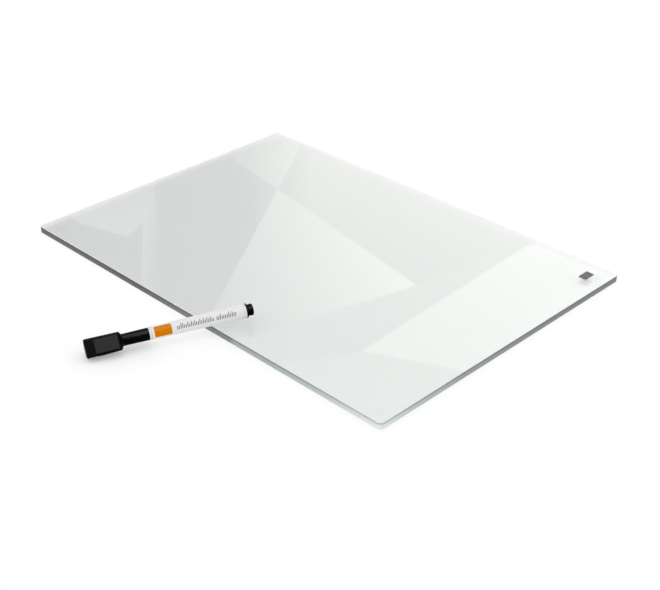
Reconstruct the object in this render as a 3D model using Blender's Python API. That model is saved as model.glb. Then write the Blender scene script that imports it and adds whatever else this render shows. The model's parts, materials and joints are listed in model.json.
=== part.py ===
"""Clear acrylic memo board with its capped whiteboard marker lying across the left edge.

Frame: +X along the short side of the sheet, +Y along its long side, +Z up from the desk.
The origin is the centre of the bounding box of the whole set, at desk level.
All sizes are in metres and all angles in degrees.
"""

import math

import bmesh
import bpy
from mathutils import Matrix, Vector

# Clearances
SEAT_GAP = 0.0003
FILM_GAP = 0.0002
NIB_CLEARANCE = 0.0011
CUT_OVERRUN = 0.002

# Sheet
SHEET_WIDTH = 0.297
SHEET_HEIGHT = 0.420
SHEET_THICKNESS = 0.006
SHEET_CORNER_RADIUS = 0.004
SHEET_EDGE_BEVEL = 0.0005

# Bumper feet
FOOT_HEIGHT = 0.0015
FOOT_RADIUS = 0.004
FOOT_EDGE_ROUND = 0.001
FOOT_INSET = 0.014

# Name tag, with its margins from the right and the bottom edge of the sheet
TAG_WIDTH = 0.012
TAG_HEIGHT = 0.0075
TAG_THICKNESS = 0.0006
TAG_CORNER_RADIUS = 0.0005
TAG_BEVEL = 0.00015
TAG_RIGHT_MARGIN = 0.0160
TAG_BOTTOM_MARGIN = 0.0144

# Where the marker lies: its heading in plan, and the point where it crosses the left edge
MARKER_HEADING = -25.4
CROSSING_FROM_CAP_END = 0.1003
CROSSING_BELOW_CENTRE = 0.0274
# The felt faces out sideways, turned up from level by this angle
FELT_ELEVATION = 34.0

# Marker cap: the head, whose back swells out at its waist, then the round tube
HEAD_LENGTH = 0.0295
HEAD_HALF_WIDTH = 0.0076
HEAD_NECK_HALF_WIDTH = 0.0073
HEAD_DROP = 0.0003
HEAD_FACE_HEIGHT = 0.0062
HEAD_BACK_DEPTH = 0.0068
HEAD_WAIST_SWELL = 0.0016
HEAD_WAIST_BELLY = 0.0005
HEAD_SWELL_START = 0.0075
HEAD_WAIST_PLACE = 0.0117
HEAD_CORNER_RADIUS = 0.0010
HEAD_END_ROUND = 0.0010
HEAD_SHOULDER = 0.0023
CAP_NECK_RADIUS = 0.0048
CAP_RADIUS = 0.0050
CAP_LENGTH = 0.0501
CAP_WALL = 0.0008
CAP_LIP_ROUND = 0.0002
CAP_BORE_DEPTH = 0.0240
NIB_CHAMBER_DEPTH = 0.0065

# Eraser felt, with the margins of plain head left round it
FELT_END_MARGIN = 0.0074
FELT_NECK_MARGIN = 0.0020
FELT_SIDE_MARGIN = 0.00225
FELT_THICKNESS = 0.0017
FELT_CORNER_RADIUS = 0.0007
FELT_BEVEL = 0.0003
FELT_RECESS = 0.0012

# Barrel and the film round it
BARREL_LENGTH = 0.0782
BARREL_FRONT_RADIUS = 0.00515
BARREL_REAR_RADIUS = 0.0059
BARREL_WALL = 0.00145
BARREL_RIM = 0.0015
BARREL_RIM_ROUND = 0.0002
FILM_THICKNESS = 0.0002

# Nib holder: its spigot in the barrel, its collar and its nose in the cap
SPIGOT_LENGTH = 0.0085
COLLAR_LENGTH = 0.0125
NOSE_LENGTH = 0.0080
NOSE_WALL = 0.0006
HOLDER_CHAMFER = 0.0003

# Felt nib
NIB_RADIUS = 0.0017
NIB_PROTRUSION = 0.0058
NIB_TIP_ROUND = 0.0012
NIB_REACH_INTO_RESERVOIR = 0.0055

# Ink reservoir
RESERVOIR_AIR_SPACE = 0.0065
RESERVOIR_CHAMFER = 0.0003

# End plug; its neck and button are drops from the barrel's rear radius
PLUG_SPIGOT_LENGTH = 0.0065
PLUG_FLANGE_THICKNESS = 0.0008
PLUG_NECK_DROP = 0.0013
PLUG_NECK_LENGTH = 0.0014
PLUG_BUTTON_DROP = 0.0011
PLUG_BUTTON_LENGTH = 0.0058
PLUG_BUTTON_ROUND = 0.0012

# Smoothness, as numbers of segments
TURN_SEGMENTS = 40
CORNER_SEGMENTS = 6
BACK_SEGMENTS = 24
FACE_SEGMENTS = 10
ROUND_SEGMENTS = 4
BEVEL_SEGMENTS = 2
BEVEL_PROFILE_SHARE = 0.5
TILT_PASSES = 12
SMOOTH_ANGLE = 35.0
MERGE_DISTANCE = 0.00001

# Finishes: linear colour, roughness, metallic value and transmission
FINISHES = {
    "clear_acrylic": ((0.92, 0.95, 0.93, 1.0), 0.03, 0.0, 1.0),
    "clear_bumper": ((0.90, 0.93, 0.90, 1.0), 0.20, 0.0, 1.0),
    "tag_grey": ((0.13, 0.13, 0.135, 1.0), 0.35, 0.6, 0.0),
    "cap_black": ((0.008, 0.009, 0.011, 1.0), 0.30, 0.0, 0.0),
    "felt_grey": ((0.033, 0.033, 0.034, 1.0), 0.95, 0.0, 0.0),
    "barrel_white": ((0.72, 0.72, 0.74, 1.0), 0.35, 0.0, 0.0),
    "film_white": ((0.75, 0.75, 0.77, 1.0), 0.25, 0.0, 0.0),
    "nib_black": ((0.02, 0.02, 0.022, 1.0), 0.90, 0.0, 0.0),
    "fibre_white": ((0.60, 0.60, 0.58, 1.0), 0.95, 0.0, 0.0),
}
CLEAR_IOR = 1.49

# Worked out from the sizes above
SHEET_BOTTOM = FOOT_HEIGHT + SEAT_GAP
SHEET_TOP = SHEET_BOTTOM + SHEET_THICKNESS
FOOT_BASE_RADIUS = FOOT_RADIUS - FOOT_EDGE_ROUND
CAP_BORE_RADIUS = CAP_RADIUS - CAP_WALL
SHOULDER_START = HEAD_LENGTH - HEAD_SHOULDER
FELT_LENGTH = SHOULDER_START - FELT_END_MARGIN - FELT_NECK_MARGIN
FELT_WIDTH = 2 * (HEAD_HALF_WIDTH - FELT_SIDE_MARGIN)
RECESS_BOTTOM = HEAD_FACE_HEIGHT - FELT_RECESS
BARREL_START = CAP_LENGTH + SEAT_GAP
BARREL_END = BARREL_START + BARREL_LENGTH
FILM_START = BARREL_START + BARREL_RIM + SEAT_GAP
FILM_END = BARREL_END - BARREL_RIM - SEAT_GAP
COLLAR_RADIUS = CAP_BORE_RADIUS - SEAT_GAP
COLLAR_END = BARREL_START - SEAT_GAP
NOSE_START = COLLAR_END - COLLAR_LENGTH - NOSE_LENGTH
SPIGOT_END = BARREL_START + SPIGOT_LENGTH
SPIGOT_RADIUS = BARREL_FRONT_RADIUS - BARREL_WALL - SEAT_GAP
NIB_SHANK_RADIUS = NIB_RADIUS - SEAT_GAP
NIB_BORE_RADIUS = NIB_RADIUS + SEAT_GAP
NOSE_RADIUS = NIB_BORE_RADIUS + NOSE_WALL
NIB_CHAMBER_RADIUS = NIB_RADIUS + NIB_CLEARANCE
NIB_START = NOSE_START - NIB_PROTRUSION
PLUG_SPIGOT_START = BARREL_END - PLUG_SPIGOT_LENGTH
RESERVOIR_START = SPIGOT_END + SEAT_GAP
RESERVOIR_END = PLUG_SPIGOT_START - RESERVOIR_AIR_SPACE
NIB_END = RESERVOIR_START + NIB_REACH_INTO_RESERVOIR


def clear_scene():
    """Remove every object and material that the file holds."""
    for thing in list(bpy.data.objects):
        bpy.data.objects.remove(thing, do_unlink=True)
    for material in list(bpy.data.materials):
        bpy.data.materials.remove(material)


def finish(name):
    """Return the Principled material of a finish, made on its first use."""
    if name in bpy.data.materials:
        return bpy.data.materials[name]
    colour, roughness, metallic, transmission = FINISHES[name]
    material = bpy.data.materials.new(name)
    material.use_nodes = True
    shader = material.node_tree.nodes["Principled BSDF"]
    shader.inputs["Base Color"].default_value = colour
    shader.inputs["Roughness"].default_value = roughness
    shader.inputs["Metallic"].default_value = metallic
    shader.inputs["Transmission Weight"].default_value = transmission
    if transmission:
        shader.inputs["IOR"].default_value = CLEAR_IOR
    return material


def make_empty(name, parent=None, matrix=None):
    """Return an empty that carries other objects."""
    empty = bpy.data.objects.new(name, None)
    bpy.context.collection.objects.link(empty)
    empty.parent = parent
    if matrix is not None:
        empty.matrix_local = matrix
    return empty


def make_object(name, bm, finish_name, parent):
    """Turn a bmesh into a named object with outward faces, one finish and a parent."""
    bmesh.ops.recalc_face_normals(bm, faces=bm.faces)
    mesh = bpy.data.meshes.new(name)
    bm.to_mesh(mesh)
    bm.free()
    mesh.shade_smooth()
    mesh.set_sharp_from_angle(angle=math.radians(SMOOTH_ANGLE))
    mesh.materials.append(finish(finish_name))
    thing = bpy.data.objects.new(name, mesh)
    bpy.context.collection.objects.link(thing)
    thing.parent = parent
    return thing


def cut(target, cutter):
    """Cut one object out of another with an exact Boolean."""
    cutter.hide_render = True
    cutter.display_type = "WIRE"
    boolean = target.modifiers.new("cut_" + cutter.name, "BOOLEAN")
    boolean.object = cutter
    boolean.operation = "DIFFERENCE"
    boolean.solver = "EXACT"


def turned(profile, closed):
    """Spin a profile of (radius, place) pairs about the local Z axis.

    A closed profile is a loop clear of the axis; an open one starts and ends on the axis.
    """
    bm = bmesh.new()
    points = [bm.verts.new((radius, 0, place)) for radius, place in profile]
    pairs = list(zip(points, points[1:]))
    if closed:
        pairs.append((points[-1], points[0]))
    edges = [bm.edges.new(pair) for pair in pairs]
    bmesh.ops.spin(
        bm,
        geom=points + edges,
        cent=(0, 0, 0),
        axis=(0, 0, 1),
        angle=math.tau,
        steps=TURN_SEGMENTS,
        use_merge=True,
    )
    bmesh.ops.remove_doubles(bm, verts=bm.verts, dist=MERGE_DISTANCE)
    return bm


def rounded_rectangle(width, height, radius):
    """Return the corner-rounded outline of a rectangle centred on the origin."""
    points = []
    corners = ((1, 1), (-1, 1), (-1, -1), (1, -1))
    for quarter, (side, end) in enumerate(corners):
        centre_x = side * (width / 2 - radius)
        centre_y = end * (height / 2 - radius)
        for step in range(CORNER_SEGMENTS + 1):
            angle = (quarter + step / CORNER_SEGMENTS) * math.pi / 2
            points.append((centre_x + radius * math.cos(angle), centre_y + radius * math.sin(angle)))
    return points


def plate(outline, bottom, top, bevel):
    """Return a plate between two levels, with its two rims bevelled in two steps."""
    bm = bmesh.new()
    base = bm.faces.new([bm.verts.new((x, y, bottom)) for x, y in outline])
    lifted = bmesh.ops.extrude_face_region(bm, geom=[base])["geom"]
    raised = [item for item in lifted if isinstance(item, bmesh.types.BMVert)]
    bmesh.ops.translate(bm, verts=raised, vec=(0, 0, top - bottom))
    bmesh.ops.recalc_face_normals(bm, faces=bm.faces)
    level_faces = [face for face in bm.faces if len(face.verts) == len(outline)]
    rims = {edge for face in level_faces for edge in face.edges}
    bmesh.ops.bevel(
        bm,
        geom=list(rims),
        offset=bevel,
        offset_type="WIDTH",
        segments=BEVEL_SEGMENTS,
        profile=BEVEL_PROFILE_SHARE,
        affect="EDGES",
    )
    return bm


def quarter_round(radius, steps=ROUND_SEGMENTS):
    """Yield (inset, advance) along a quarter circle, from a flat end to a full side."""
    for step in range(steps + 1):
        turn = step / steps * math.pi / 2
        yield radius * (1 - math.sin(turn)), radius * (1 - math.cos(turn))


def waist_share(place):
    """Return how far the head's back swells out at a place: 0 at both its ends, 1 at its waist."""
    if place < HEAD_WAIST_PLACE:
        return max((place - HEAD_SWELL_START) / (HEAD_WAIST_PLACE - HEAD_SWELL_START), 0)
    return (SHOULDER_START - place) / (SHOULDER_START - HEAD_WAIST_PLACE)


def head_outline(inset, place):
    """Return the head's outline: flat face at +Y, an oval back at -Y, the lower side at -X."""
    narrowing = (HEAD_NECK_HALF_WIDTH - HEAD_HALF_WIDTH) * place / SHOULDER_START
    half_width = HEAD_HALF_WIDTH + narrowing - inset
    face = HEAD_FACE_HEIGHT - inset
    back = HEAD_BACK_DEPTH + HEAD_WAIST_SWELL * waist_share(place) - inset
    lower_half_width = half_width + HEAD_WAIST_BELLY * waist_share(place)
    corner = HEAD_CORNER_RADIUS
    points = []
    for step in range(CORNER_SEGMENTS + 1):
        angle = step / CORNER_SEGMENTS * math.pi / 2
        points.append((half_width - corner * (1 - math.cos(angle)), face - corner * (1 - math.sin(angle))))
    flat = half_width - corner
    for step in range(1, FACE_SEGMENTS):
        points.append((flat * (1 - 2 * step / FACE_SEGMENTS), face))
    points += [(-x, y) for x, y in reversed(points[: CORNER_SEGMENTS + 1])]
    for step in range(BACK_SEGMENTS + 1):
        angle = math.pi * (1 + step / BACK_SEGMENTS)
        reach = lower_half_width if math.cos(angle) < 0 else half_width
        points.append((reach * math.cos(angle), back * math.sin(angle)))
    return [(x - HEAD_DROP, y) for x, y in points]


def circle_along(outline, radius):
    """Return a circle whose points lie in the same directions as the outline's."""
    return [(x / math.hypot(x, y) * radius, y / math.hypot(x, y) * radius) for x, y in outline]


def head_sections():
    """Return the head's (place, outline) sections, from its end to its neck."""
    sections = []
    for inset, advance in quarter_round(HEAD_END_ROUND):
        sections.append((advance, head_outline(inset, advance)))
    for place in (HEAD_SWELL_START, HEAD_WAIST_PLACE, SHOULDER_START):
        sections.append((place, head_outline(0, place)))
    return sections


def cap_sections():
    """Return the cap's (place, outline) sections, down its outside and back up its bore."""
    sections = head_sections()
    neck = sections[-1][1]
    sections.append((HEAD_LENGTH, circle_along(neck, CAP_NECK_RADIUS)))
    tube = circle_along(neck, CAP_RADIUS)
    sections.append((CAP_LENGTH - CAP_LIP_ROUND, tube))
    sections.append((CAP_LENGTH, circle_along(neck, CAP_RADIUS - CAP_LIP_ROUND)))
    bore = circle_along(neck, CAP_BORE_RADIUS)
    sections.append((CAP_LENGTH, circle_along(neck, CAP_BORE_RADIUS + CAP_LIP_ROUND)))
    sections.append((CAP_LENGTH - CAP_LIP_ROUND, bore))
    bore_end = CAP_LENGTH - CAP_BORE_DEPTH
    chamber = circle_along(neck, NIB_CHAMBER_RADIUS)
    sections.append((bore_end, bore))
    sections.append((bore_end - (CAP_BORE_RADIUS - NIB_CHAMBER_RADIUS), chamber))
    sections.append((bore_end - NIB_CHAMBER_DEPTH, chamber))
    return sections


def make_cap(parent):
    """Build the cap, with the recess for its felt cut into the head's face."""
    bm = bmesh.new()
    loops = []
    for place, outline in cap_sections():
        loops.append([bm.verts.new((x, y, place)) for x, y in outline])
    count = len(loops[0])
    for lower, upper in zip(loops, loops[1:]):
        for index in range(count):
            following = (index + 1) % count
            bm.faces.new((lower[index], lower[following], upper[following], upper[index]))
    bm.faces.new(loops[0])
    bm.faces.new(loops[-1])
    cap = make_object("marker_cap", bm, "cap_black", parent)
    recess = felt_block(SEAT_GAP, RECESS_BOTTOM, HEAD_FACE_HEIGHT + CUT_OVERRUN)
    cut(cap, make_object("felt_recess", recess, "cap_black", parent))


def felt_block(margin, bottom, top):
    """Return the felt's block, grown by a margin, between two heights over the marker's axis."""
    outline = rounded_rectangle(
        FELT_WIDTH + 2 * margin, FELT_LENGTH + 2 * margin, FELT_CORNER_RADIUS + margin
    )
    block = plate(outline, bottom, top, FELT_BEVEL)
    # A plate lies in XY; its length is turned along the marker and its face to +Y
    centre = FELT_END_MARGIN + FELT_LENGTH / 2
    onto_face = Matrix.Translation((-HEAD_DROP, 0, centre)) @ Matrix.Rotation(-math.pi / 2, 4, "X")
    bmesh.ops.transform(block, matrix=onto_face, verts=block.verts)
    return block


def make_felt(parent):
    """Build the eraser felt, which stands a little proud of its recess."""
    bottom = RECESS_BOTTOM + SEAT_GAP
    felt = felt_block(0, bottom, bottom + FELT_THICKNESS)
    make_object("eraser_felt", felt, "felt_grey", parent)


def film_radius(place):
    """Return the outer radius of the barrel with its film, which grows evenly to the rear."""
    share = (place - BARREL_START) / BARREL_LENGTH
    return BARREL_FRONT_RADIUS + (BARREL_REAR_RADIUS - BARREL_FRONT_RADIUS) * share


def bore_radius(place):
    """Return the radius of the barrel's bore, a wall inside the film's surface."""
    return film_radius(place) - BARREL_WALL


def make_barrel(parent):
    """Build the barrel, waisted between two rims."""
    waist = FILM_THICKNESS + FILM_GAP
    front_rim = BARREL_START + BARREL_RIM
    rear_rim = BARREL_END - BARREL_RIM
    profile = [
        (bore_radius(BARREL_START), BARREL_START),
        (film_radius(BARREL_START) - BARREL_RIM_ROUND, BARREL_START),
        (film_radius(BARREL_START), BARREL_START + BARREL_RIM_ROUND),
        (film_radius(front_rim), front_rim),
        (film_radius(front_rim) - waist, front_rim),
        (film_radius(rear_rim) - waist, rear_rim),
        (film_radius(rear_rim), rear_rim),
        (film_radius(BARREL_END), BARREL_END - BARREL_RIM_ROUND),
        (film_radius(BARREL_END) - BARREL_RIM_ROUND, BARREL_END),
        (bore_radius(BARREL_END), BARREL_END),
    ]
    make_object("marker_barrel", turned(profile, closed=True), "barrel_white", parent)


def make_label(parent):
    """Build the printed film that fills the barrel's waist."""
    profile = [
        (film_radius(FILM_START) - FILM_THICKNESS, FILM_START),
        (film_radius(FILM_START), FILM_START),
        (film_radius(FILM_END), FILM_END),
        (film_radius(FILM_END) - FILM_THICKNESS, FILM_END),
    ]
    make_object("barrel_label", turned(profile, closed=True), "film_white", parent)


def make_nib_holder(parent):
    """Build the front section: spigot in the barrel, collar and tapered nose in the cap."""
    chamfer = HOLDER_CHAMFER
    collar_start = COLLAR_END - COLLAR_LENGTH
    profile = [
        (NIB_BORE_RADIUS, SPIGOT_END),
        (SPIGOT_RADIUS - chamfer, SPIGOT_END),
        (SPIGOT_RADIUS, SPIGOT_END - chamfer),
        (SPIGOT_RADIUS, COLLAR_END),
        (COLLAR_RADIUS, COLLAR_END),
        (COLLAR_RADIUS, collar_start + chamfer),
        (COLLAR_RADIUS - chamfer, collar_start),
        (NOSE_RADIUS, NOSE_START + chamfer),
        (NOSE_RADIUS - chamfer, NOSE_START),
        (NIB_BORE_RADIUS, NOSE_START),
    ]
    make_object("nib_holder", turned(profile, closed=True), "cap_black", parent)


def make_nib(parent):
    """Build the bullet nib and its shank, which ends inside the reservoir's socket."""
    profile = [(0, NIB_START)]
    for inset, advance in quarter_round(NIB_TIP_ROUND):
        profile.append((NIB_RADIUS - inset, NIB_START + advance))
    profile += [
        (NIB_RADIUS, SPIGOT_END),
        (NIB_SHANK_RADIUS, SPIGOT_END),
        (NIB_SHANK_RADIUS, NIB_END),
        (0, NIB_END),
    ]
    make_object("felt_nib", turned(profile, closed=False), "nib_black", parent)


def make_reservoir(parent):
    """Build the fibre rod with the socket that takes the nib's shank."""
    socket_radius = NIB_SHANK_RADIUS + SEAT_GAP
    socket_end = NIB_END + SEAT_GAP
    radius = bore_radius(RESERVOIR_START) - SEAT_GAP
    chamfer = RESERVOIR_CHAMFER
    profile = [
        (0, socket_end),
        (socket_radius, socket_end),
        (socket_radius, RESERVOIR_START),
        (radius - chamfer, RESERVOIR_START),
        (radius, RESERVOIR_START + chamfer),
        (radius, RESERVOIR_END - chamfer),
        (radius - chamfer, RESERVOIR_END),
        (0, RESERVOIR_END),
    ]
    make_object("ink_reservoir", turned(profile, closed=False), "fibre_white", parent)


def make_plug(parent):
    """Build the rear plug: spigot in the barrel, flange, hollowed neck and rounded button."""
    seat = BARREL_END + SEAT_GAP
    spigot_radius = bore_radius(PLUG_SPIGOT_START) - SEAT_GAP
    flange_end = seat + PLUG_FLANGE_THICKNESS
    button_end = seat + PLUG_BUTTON_LENGTH
    profile = [
        (0, PLUG_SPIGOT_START),
        (spigot_radius - HOLDER_CHAMFER, PLUG_SPIGOT_START),
        (spigot_radius, PLUG_SPIGOT_START + HOLDER_CHAMFER),
        (spigot_radius, seat),
        (BARREL_REAR_RADIUS, seat),
        (BARREL_REAR_RADIUS, flange_end),
    ]
    for step in range(1, ROUND_SEGMENTS + 1):
        turn = step / ROUND_SEGMENTS * math.pi / 2
        radius = BARREL_REAR_RADIUS - PLUG_NECK_DROP * math.sin(turn)
        profile.append((radius, flange_end + PLUG_NECK_LENGTH * (1 - math.cos(turn))))
    button_radius = BARREL_REAR_RADIUS - PLUG_BUTTON_DROP
    for inset, advance in reversed(list(quarter_round(PLUG_BUTTON_ROUND))):
        profile.append((button_radius - inset, button_end - advance))
    profile.append((0, button_end))
    make_object("end_plug", turned(profile, closed=False), "cap_black", parent)


def make_sheet(parent):
    """Build the clear writing sheet."""
    outline = rounded_rectangle(SHEET_WIDTH, SHEET_HEIGHT, SHEET_CORNER_RADIUS)
    sheet = plate(outline, SHEET_BOTTOM, SHEET_TOP, SHEET_EDGE_BEVEL)
    make_object("acrylic_sheet", sheet, "clear_acrylic", parent)


def make_tag(parent):
    """Build the blank plate on the writing face, near the bottom right corner."""
    outline = rounded_rectangle(TAG_WIDTH, TAG_HEIGHT, TAG_CORNER_RADIUS)
    tag = make_object("name_tag", plate(outline, 0, TAG_THICKNESS, TAG_BEVEL), "tag_grey", parent)
    tag.location = (
        SHEET_WIDTH / 2 - TAG_RIGHT_MARGIN - TAG_WIDTH / 2,
        -SHEET_HEIGHT / 2 + TAG_BOTTOM_MARGIN + TAG_HEIGHT / 2,
        SHEET_TOP + SEAT_GAP,
    )


def make_feet(parent):
    """Build a bumper foot under each corner, flat where it stands and flared above."""
    profile = [(0, 0), (FOOT_BASE_RADIUS, 0)]
    for step in range(1, ROUND_SEGMENTS + 1):
        turn = step / ROUND_SEGMENTS * math.pi / 2
        radius = FOOT_BASE_RADIUS + FOOT_EDGE_ROUND * math.sin(turn)
        profile.append((radius, FOOT_HEIGHT * (1 - math.cos(turn))))
    profile.append((0, FOOT_HEIGHT))
    spread_x = SHEET_WIDTH / 2 - FOOT_INSET
    spread_y = SHEET_HEIGHT / 2 - FOOT_INSET
    for end_name, end in (("front", -1), ("back", 1)):
        for side_name, side in (("left", -1), ("right", 1)):
            name = f"foot_{end_name}_{side_name}"
            foot = make_object(name, turned(profile, closed=False), "clear_bumper", parent)
            foot.location = (side * spread_x, end * spread_y, 0)


def marker_placement():
    """Return the marker's matrix: origin at the cap's end, Z along it, Y out of the felt.

    The head's back stands on the desk, and the barrel leans on the sheet's left rim.
    """
    heading = math.radians(MARKER_HEADING)
    elevation = math.radians(FELT_ELEVATION)
    radius = film_radius(CROSSING_FROM_CAP_END) + SEAT_GAP
    # How far each point of the head lies below the axis, and how far along it
    head_points = []
    for place, outline in head_sections():
        for x, y in outline:
            head_points.append((-x * math.cos(elevation) - y * math.sin(elevation), place))
    tilt = 0.0
    for _ in range(TILT_PASSES):
        start_height = max(
            below * math.cos(tilt) - place * math.sin(tilt) for below, place in head_points
        )
        rise = radius * math.sqrt(1 + (math.tan(tilt) / math.cos(heading)) ** 2)
        tilt = math.asin((SHEET_TOP + rise - start_height) / CROSSING_FROM_CAP_END)
    along = Vector(
        (math.cos(tilt) * math.cos(heading), math.cos(tilt) * math.sin(heading), math.sin(tilt))
    )
    crossing_x = SHEET_EDGE_BEVEL - SHEET_WIDTH / 2
    start = Vector((crossing_x, -CROSSING_BELOW_CENTRE, 0)) - along * CROSSING_FROM_CAP_END
    start.z = start_height
    # Level and square to the marker, on the side of the sheet's front edge
    sideways = along.cross(Vector((0, 0, 1))).normalized()
    upward = sideways.cross(along)
    face = sideways * math.cos(elevation) + upward * math.sin(elevation)
    across = face.cross(along)
    turn = Matrix((across, face, along)).transposed().to_4x4()
    return Matrix.Translation(start) @ turn


def centre_on_base(root):
    """Move the set so that its bounding box is centred on the origin and stands on it."""
    bpy.context.view_layer.update()
    graph = bpy.context.evaluated_depsgraph_get()
    corners = []
    for thing in bpy.data.objects:
        if thing.type == "MESH" and not thing.hide_render:
            solid = thing.evaluated_get(graph)
            corners += [solid.matrix_world @ vertex.co for vertex in solid.data.vertices]
    low = Vector([min(point[axis] for point in corners) for axis in range(3)])
    high = Vector([max(point[axis] for point in corners) for axis in range(3)])
    middle = (low + high) / 2
    root.location = (-middle.x, -middle.y, -low.z)
    bpy.context.view_layer.update()


def main():
    """Build the whole set."""
    clear_scene()
    root = make_empty("board_frame")
    make_sheet(root)
    make_tag(root)
    make_feet(root)
    # The cap lifts off with the marker in it; the marker slides out along the same axis
    cap_frame = make_empty("cap_frame", root, marker_placement())
    make_cap(cap_frame)
    make_felt(cap_frame)
    marker_frame = make_empty("marker_frame", cap_frame)
    make_barrel(marker_frame)
    make_label(marker_frame)
    make_nib_holder(marker_frame)
    make_nib(marker_frame)
    make_reservoir(marker_frame)
    make_plug(marker_frame)
    centre_on_base(root)


main()
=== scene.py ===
"""Looks of the clear memo board and its marker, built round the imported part.

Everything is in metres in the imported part's frame: +X along the sheet's short side, +Y along
its long side and +Z up from the desk. Each piece is built in place at rest.
"""

import json
import logging
import math
import random
from abc import ABC, abstractmethod
from collections.abc import Callable, Iterator, Mapping, Sequence
from dataclasses import dataclass
from enum import Enum
from functools import cached_property, reduce
from typing import Any

import bmesh
import bpy
from mathutils import Matrix, Vector, noise

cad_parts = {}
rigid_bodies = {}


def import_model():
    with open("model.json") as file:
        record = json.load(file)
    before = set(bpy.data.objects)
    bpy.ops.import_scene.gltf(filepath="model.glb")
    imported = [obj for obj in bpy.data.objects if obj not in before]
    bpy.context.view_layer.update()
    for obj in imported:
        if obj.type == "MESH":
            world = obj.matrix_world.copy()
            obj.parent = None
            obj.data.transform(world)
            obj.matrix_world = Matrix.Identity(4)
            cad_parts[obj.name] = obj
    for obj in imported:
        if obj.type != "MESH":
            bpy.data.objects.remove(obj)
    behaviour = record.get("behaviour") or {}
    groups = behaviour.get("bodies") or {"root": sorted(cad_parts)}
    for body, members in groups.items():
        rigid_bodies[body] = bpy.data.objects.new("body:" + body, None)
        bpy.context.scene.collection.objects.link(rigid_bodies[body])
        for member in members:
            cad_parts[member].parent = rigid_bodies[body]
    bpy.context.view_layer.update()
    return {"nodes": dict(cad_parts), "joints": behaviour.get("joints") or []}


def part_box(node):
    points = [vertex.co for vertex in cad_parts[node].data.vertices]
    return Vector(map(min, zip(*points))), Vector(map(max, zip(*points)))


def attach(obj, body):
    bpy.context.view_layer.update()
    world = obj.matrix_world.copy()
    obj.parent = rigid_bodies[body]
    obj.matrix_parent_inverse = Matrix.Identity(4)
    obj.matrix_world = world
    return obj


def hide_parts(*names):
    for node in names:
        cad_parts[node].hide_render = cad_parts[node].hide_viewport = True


for leftover in list(bpy.data.objects):
    bpy.data.objects.remove(leftover, do_unlink=True)
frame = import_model()

LOG = logging.getLogger("memo_board")
SMOOTH_ANGLE = math.radians(35.0)
ARRIS_STEPS = 4
CURVE_STEPS = 10
FACE_LOOP_SHARE = 1.5
LEAST_CORNER_SHARE = 0.25

Colour = tuple[float, float, float]
Scale = tuple[float, float, float]
Place = tuple[float, float, float]
Stops = tuple[tuple[float, Colour], ...]
Point = tuple[float, float]
Span = tuple[float, float]
Ring = list[Vector]


class Body(Enum):
    """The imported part's bodies that a piece can ride on."""

    BOARD = "board"
    CAP = "cap"
    MARKER = "marker"


class Blend(Enum):
    """The ways in which two colours are mixed."""

    MIX = "MIX"
    MULTIPLY = "MULTIPLY"


def operation(kind: str, reflected: bool = False) -> Callable[..., "Value"]:
    """Make a method of Value that adds one Math node.

    Args:
        kind: The Math node's operation.
        reflected: Whether the value itself comes last.

    Returns:
        The method.
    """

    def method(self: "Value", *others: "Value | float") -> "Value":
        """Return the Math node's result for the value and the others."""
        terms = (*others, self) if reflected else (self, *others)
        return Value(self.net, self.net.add("Math", {"operation": kind}, dict(enumerate(terms))))

    return method


class Value:
    """A number socket whose arithmetic adds Math nodes."""

    def __init__(self, net: "Net", node: bpy.types.Node, output: str | int = 0) -> None:
        """Wrap an output of one of a net's nodes."""
        self.net = net
        self.socket = node.outputs[output]

    __add__, __radd__ = operation("ADD"), operation("ADD", reflected=True)
    __sub__, __rsub__ = operation("SUBTRACT"), operation("SUBTRACT", reflected=True)
    __mul__, __rmul__ = operation("MULTIPLY"), operation("MULTIPLY", reflected=True)
    __truediv__, __rtruediv__ = operation("DIVIDE"), operation("DIVIDE", reflected=True)
    __pow__, __rpow__ = operation("POWER"), operation("POWER", reflected=True)
    __abs__ = operation("ABSOLUTE")
    at_least = operation("MAXIMUM")
    at_most = operation("MINIMUM")
    whole = operation("FLOOR")
    rest = operation("FRACT")
    turn_from = operation("ARCTAN2")

    def swing(self, width: float) -> "Value":
        """Return a pattern from 0 to 1 as a swing of that width about 0."""
        return (self - 0.5) * width

    def step(self, low: float, high: float) -> "Value":
        """Ease from 0 at the low value to 1 at the high one.

        Args:
            low: Where the step starts.
            high: Where it ends.

        Returns:
            The eased share.
        """
        node = self.net.add(
            "MapRange",
            {"interpolation_type": "SMOOTHSTEP"},
            {"Value": self, "From Min": low, "From Max": high},
        )
        return Value(self.net, node, "Result")


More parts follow.
